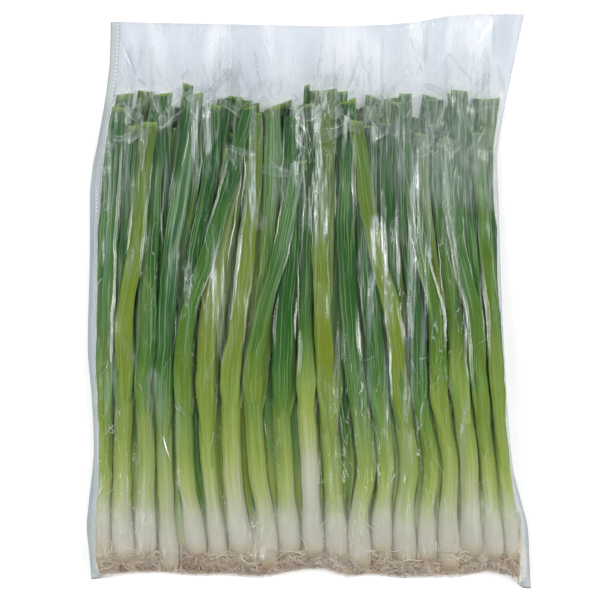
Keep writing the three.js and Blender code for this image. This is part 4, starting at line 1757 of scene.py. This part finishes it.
            # Strength of the highlight painted along the fold, uneven along its length.
            gloss = fold.painted_glint * taper * np.clip(0.7 + 0.55 * uneven, 0.2, 1)
            painted_glints.append((gloss[:, None] * painted_highlight).ravel())
            pale.append(0.4 * self.raster.read(empty, x, y).ravel())
            start += x.size
        piece = object_from("film_folds", to_frame(np.concatenate(points)), np.concatenate(faces))
        bpy.ops.object.mode_set(mode="EDIT")
        bpy.ops.mesh.select_all(action="SELECT")
        bpy.ops.mesh.normals_make_consistent(inside=False)
        bpy.ops.object.mode_set(mode="OBJECT")
        if sum(face.normal.z > 0 for face in piece.data.polygons) * 2 < len(piece.data.polygons):
            piece.data.flip_normals()
        for name, value in (("stand_off", 1.5), ("wet", 0.2), ("edge", 90.0), ("border", 0.0)):
            point_values(piece, name, np.full(start, value))
        point_values(piece, "empty", np.concatenate(pale))
        # Stores the painted highlight for the film's material to read.
        point_values(piece, "painted_glint", np.concatenate(painted_glints))
        return self.dress(piece)

    def dress(self, piece: bpy.types.Object) -> bpy.types.Object:
        """Gives a piece of the bag its finish and its place in the part.

        Args:
            piece: The piece.

        Returns:
            The same piece.
        """
        piece.data.materials.append(self.finish)
        bpy.ops.object.shade_smooth()
        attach(piece, BODY)
        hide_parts("bag")
        return piece

    def press(self) -> Array:
        """Works out the broad soft folds of the film.

        Returns:
            The height that they add in each cell.
        """
        dice = np.random.default_rng(11)
        raster = self.raster
        relief = np.zeros_like(raster.px)
        for n in range(self.soft_folds[0] + self.soft_folds[1]):
            header = n < self.soft_folds[0]
            y = dice.uniform(126, 176) if header else dice.uniform(-180, 120)
            path = Fold.bowed((dice.uniform(-142, 142), y), dice.normal(0, 0.5 if header else 0.18),
                              dice.uniform(14, 60), dice.normal(0, 2.5))
            width = dice.uniform(*self.soft_fold_width)
            height = dice.uniform(*self.soft_fold_height) * (1.0 if header else self.low_share)
            middle, reach = path.mean(axis=0), 0.5 * np.linalg.norm(path[-1] - path[0]) + 3 * width
            near = tuple(slice(*np.searchsorted(lines, [at - reach, at + reach]))
                         for lines, at in ((raster.ys, middle[1]), (raster.xs, middle[0])))
            px, py = raster.px[near], raster.py[near]
            off = np.full(px.shape, 1e3)
            for x, y in path:
                off = np.minimum(off, np.hypot(px - x, 0.7 * (py - y)))
            relief[near] = np.maximum(relief[near], height * np.exp(-(off / width) ** 1.5))
        return relief

    def build(self, onions: list[SpringOnion]) -> list[bpy.types.Object]:
        """Makes the bag over the bunch.

        Args:
            onions: The bunch.

        Returns:
            The bag and its sharp folds.
        """
        self.finish = FilmFinish("clear_film", 0.13, specular=0.7, ior=1.7).material()
        px, py = self.raster.px, self.raster.py
        load = self.load_heights(onions)
        (left, right), (bottom, mouth) = self.sides(py), self.ends(px)
        from_left, from_right, from_end = px - left, right - px, np.minimum(py - bottom, mouth - py)
        from_side = np.minimum(from_left, from_right)
        inset = np.minimum(from_side, from_end)
        rim = self.rim(px, py)
        inside = (from_left > self.seams[0]) & (from_right > self.seams[1]) & (from_end > self.seams[2])
        near = np.interp(inset, [self.seams[2], 3.0], [0.0, 1.0])
        needed = np.where(load > 0, (load + self.clearance) * near, 0)
        film = np.maximum(self.soften(self.drape(needed, rim, inside), 2), needed)
        film = self.soften(film, 1)
        beside, filled = load, load > 0
        for _ in range(self.bridge):
            beside = np.maximum.reduce([beside, *neighbours(beside)])
            filled = np.logical_or.reduce([filled, *neighbours(filled)])
        for _ in range(self.bridge):
            filled = np.logical_and.reduce([filled, *neighbours(filled)])
        filled = np.where(py < self.tips_from, filled, load > 0)
        stand_off = film - np.where(load > 0, load, np.where(filled, beside, 0))
        fade = np.clip((inset - 3) / 8, 0, 1)
        film = film + self.press() * fade
        film += 0.25 * fade * np.sin(px / 7.3 + 2 * np.sin(py / 31)) * np.interp(py, [110, 150], [0, 1])
        empty = np.clip(self.soften((~filled).astype(float), 2) * 1.7 - 0.1, 0, 1)
        margin = np.interp(from_side, [9, 16], [1.0, 0.35])
        empty *= np.maximum(np.interp(py, [60, 110], [0.35, 1]), margin)
        wet = np.interp(py, [-190, -150, -20, 90], [0.25, 1.0, 0.75, 0.15])
        wet *= 1 - 0.85 * np.interp(px, [20, 80], [0, 1]) * np.interp(py, [10, 75], [0, 1])
        left_skirt = np.interp(from_left, [6.2, 8.0], [1.0, 0.0])
        right_skirt = np.interp(from_right, [6.5, 9.5], [1.0, 0.0]) * np.interp(py, [-125, -100], [1.0, 0.0])
        border = np.maximum(left_skirt, right_skirt) * np.interp(film, [10, 14], [1.0, 0.0])
        x, y = self.outline()
        top, rim_z = self.raster.read(film, x, y), self.rim(x, y)
        top[0], top[:, 0], top[:, -1] = rim_z[0], rim_z[:, 0], rim_z[:, -1]
        top[-1, 1:-1] = rim_z[-1, 1:-1] + self.mouth_gap
        points, faces = self.shell(x, y, top, rim_z)
        piece = object_from("film_bag", to_frame(points), faces)
        edge = np.where(film > rim + 2, FAR, from_left)
        # The main film carries no painted highlight; only the folds do.
        for name, values, below in (("stand_off", stand_off, 1.2), ("empty", empty, 0.35), ("wet", wet, 0.3),
                                    ("edge", edge, FAR), ("border", border, 0.0),
                                    ("painted_glint", np.zeros_like(wet), 0.0)):
            upper = self.raster.read(values, x, y).ravel()
            point_values(piece, name, np.concatenate([upper, np.full(len(points) - top.size, below)]))
        self.dress(piece)
        return [piece, self.pinch(self.folds(onions), film, empty)]

    def shell(self, x: Array, y: Array, top: Array, rim_z: Array) -> tuple[Array, Array]:
        """Joins the upper film to a plainer lower film along the bag's three closed edges.

        Args:
            x: The grid's x.
            y: The grid's y.
            top: The upper film's height.
            rim_z: The rim's height at each place.

        Returns:
            The points, in millimetres, and the triangles.
        """
        rows, columns, step = self.rows, self.columns, self.stitch
        low_x, low_y = x[::step, ::step], y[::step, ::step]
        inset = np.minimum(np.minimum(low_x - low_x[:, :1], low_x[:, -1:] - low_x),
                           np.minimum(low_y - low_y[:1], low_y[-1:] - low_y))
        rise = np.clip(1 - inset / 14, 0, 1) ** 2
        low_z = (self.floor + rise * (rim_z[::step, ::step] - self.floor)
                 + 0.12 * np.sin(low_x / 11) * np.sin(low_y / 17))
        points = np.concatenate([grid(x, y, top).reshape(-1, 3), grid(low_x, low_y, low_z).reshape(-1, 3),
                                 grid(x[-1], y[-1], rim_z[-1])])
        number = np.arange(top.size).reshape(top.shape)
        coarse = top.size + np.arange(low_x.size).reshape(low_x.shape)
        lip = top.size + low_x.size + np.arange(columns + 1)
        upper, lower = corners_of(number), corners_of(coarse[1:-1, 1:-1])
        around = ([(0, u) for u in range(columns)] + [(v, columns) for v in range(rows)]
                  + [(rows, u) for u in range(columns, 0, -1)] + [(v, 0) for v in range(rows, 0, -1)])

        def outer(place: tuple[int, int]) -> int:
            """Gives the point of the upper film, or of the mouth's lower lip, at a place on the rim."""
            return int(lip[place[1]] if place[0] == rows and 0 < place[1] < columns else number[place])

        def inner(place: tuple[int, int]) -> int:
            """Gives the point of the lower film nearest to a place on the rim."""
            return int(coarse[tuple(min(max(round(at / step), 1), size - 2)
                                    for at, size in zip(place, coarse.shape))])

        strip = []
        for here, after in zip(around, around[1:] + around[:1]):
            a, b, c, d = outer(here), outer(after), inner(after), inner(here)
            strip.append((a, c, b))
            if c != d:
                strip.append((a, d, c))
        triangles = np.concatenate([upper[:, [0, 1, 2]], upper[:, [0, 2, 3]], lower[:, [0, 2, 1]],
                                    lower[:, [0, 3, 2]], np.array(strip)])
        keep = np.zeros(len(points), bool)
        keep[triangles.ravel()] = True
        keep[:top.size] = True
        return points[keep], (np.cumsum(keep) - 1)[triangles]


# ---------------------------------------------------------------- the studio
@dataclass
class Studio:
    """A white table top, long soft lights on both sides, and a camera straight above."""

    camera_height: float = 1.61
    camera_place: tuple[float, float] = (-0.0063, 0.0011)
    lens: float = 139.1
    side_power: float = 16.4
    side_size: tuple[float, float] = (0.35, 1.7)
    world_strength: float = 0.22

    def camera(self) -> None:
        """Sets the camera up."""
        data = bpy.data.cameras.new("camera")
        data.lens = self.lens
        data.sensor_width = 36.0
        camera = bpy.data.objects.new("camera", data)
        camera.location = (*self.camera_place, self.camera_height)
        bpy.context.scene.collection.objects.link(camera)
        bpy.context.scene.camera = camera

    def floor(self) -> None:
        """Lays the table top under the pack."""
        bpy.ops.object.select_all(action="DESELECT")
        bpy.ops.mesh.primitive_plane_add(size=6.0, location=(0, 0, -0.0004))
        floor = bpy.context.active_object
        floor.name = "table_top"
        floor.data.materials.append(FloorFinish("table_white", 0.9, specular=0.1).material())

    def light(self, name: str, place: tuple) -> None:
        """Hangs one soft light, turned towards the pack.

        Args:
            name: Its name.
            place: Where it hangs.
        """
        data = bpy.data.lights.new(name, "AREA")
        data.shape = "RECTANGLE"
        data.size, data.size_y = self.side_size
        data.energy = self.side_power
        light = bpy.data.objects.new(name, data)
        light.location = place
        light.rotation_euler = (-Vector(place)).to_track_quat("-Z", "Y").to_euler()
        bpy.context.scene.collection.objects.link(light)

    def build(self) -> None:
        """Sets up the table top, the lights, the surroundings and the camera."""
        self.floor()
        self.light("soft_left", (-1.0, 0.05, 1.05))
        self.light("soft_right", (1.0, 0.0, 1.05))
        world = bpy.data.worlds.new("studio")
        world.use_nodes = True
        Shader(world.node_tree).feed(world.node_tree.nodes["Background"],
                                     {"Color": (1, 1, 1, 1), "Strength": self.world_strength})
        bpy.context.scene.world = world
        bpy.context.scene.view_settings.view_transform = "Standard"
        self.camera()


def main() -> None:
    """Builds the bunch, its bag and the studio, and logs how many faces each piece has."""
    logging.basicConfig(level=logging.INFO, format="%(message)s")
    Studio().build()
    bunch = Bunch()
    bunch.grow()
    for piece in FilmBag().build(bunch.onions):
        report(piece)
    bunch.build()


if __name__ == "__main__":
    main()
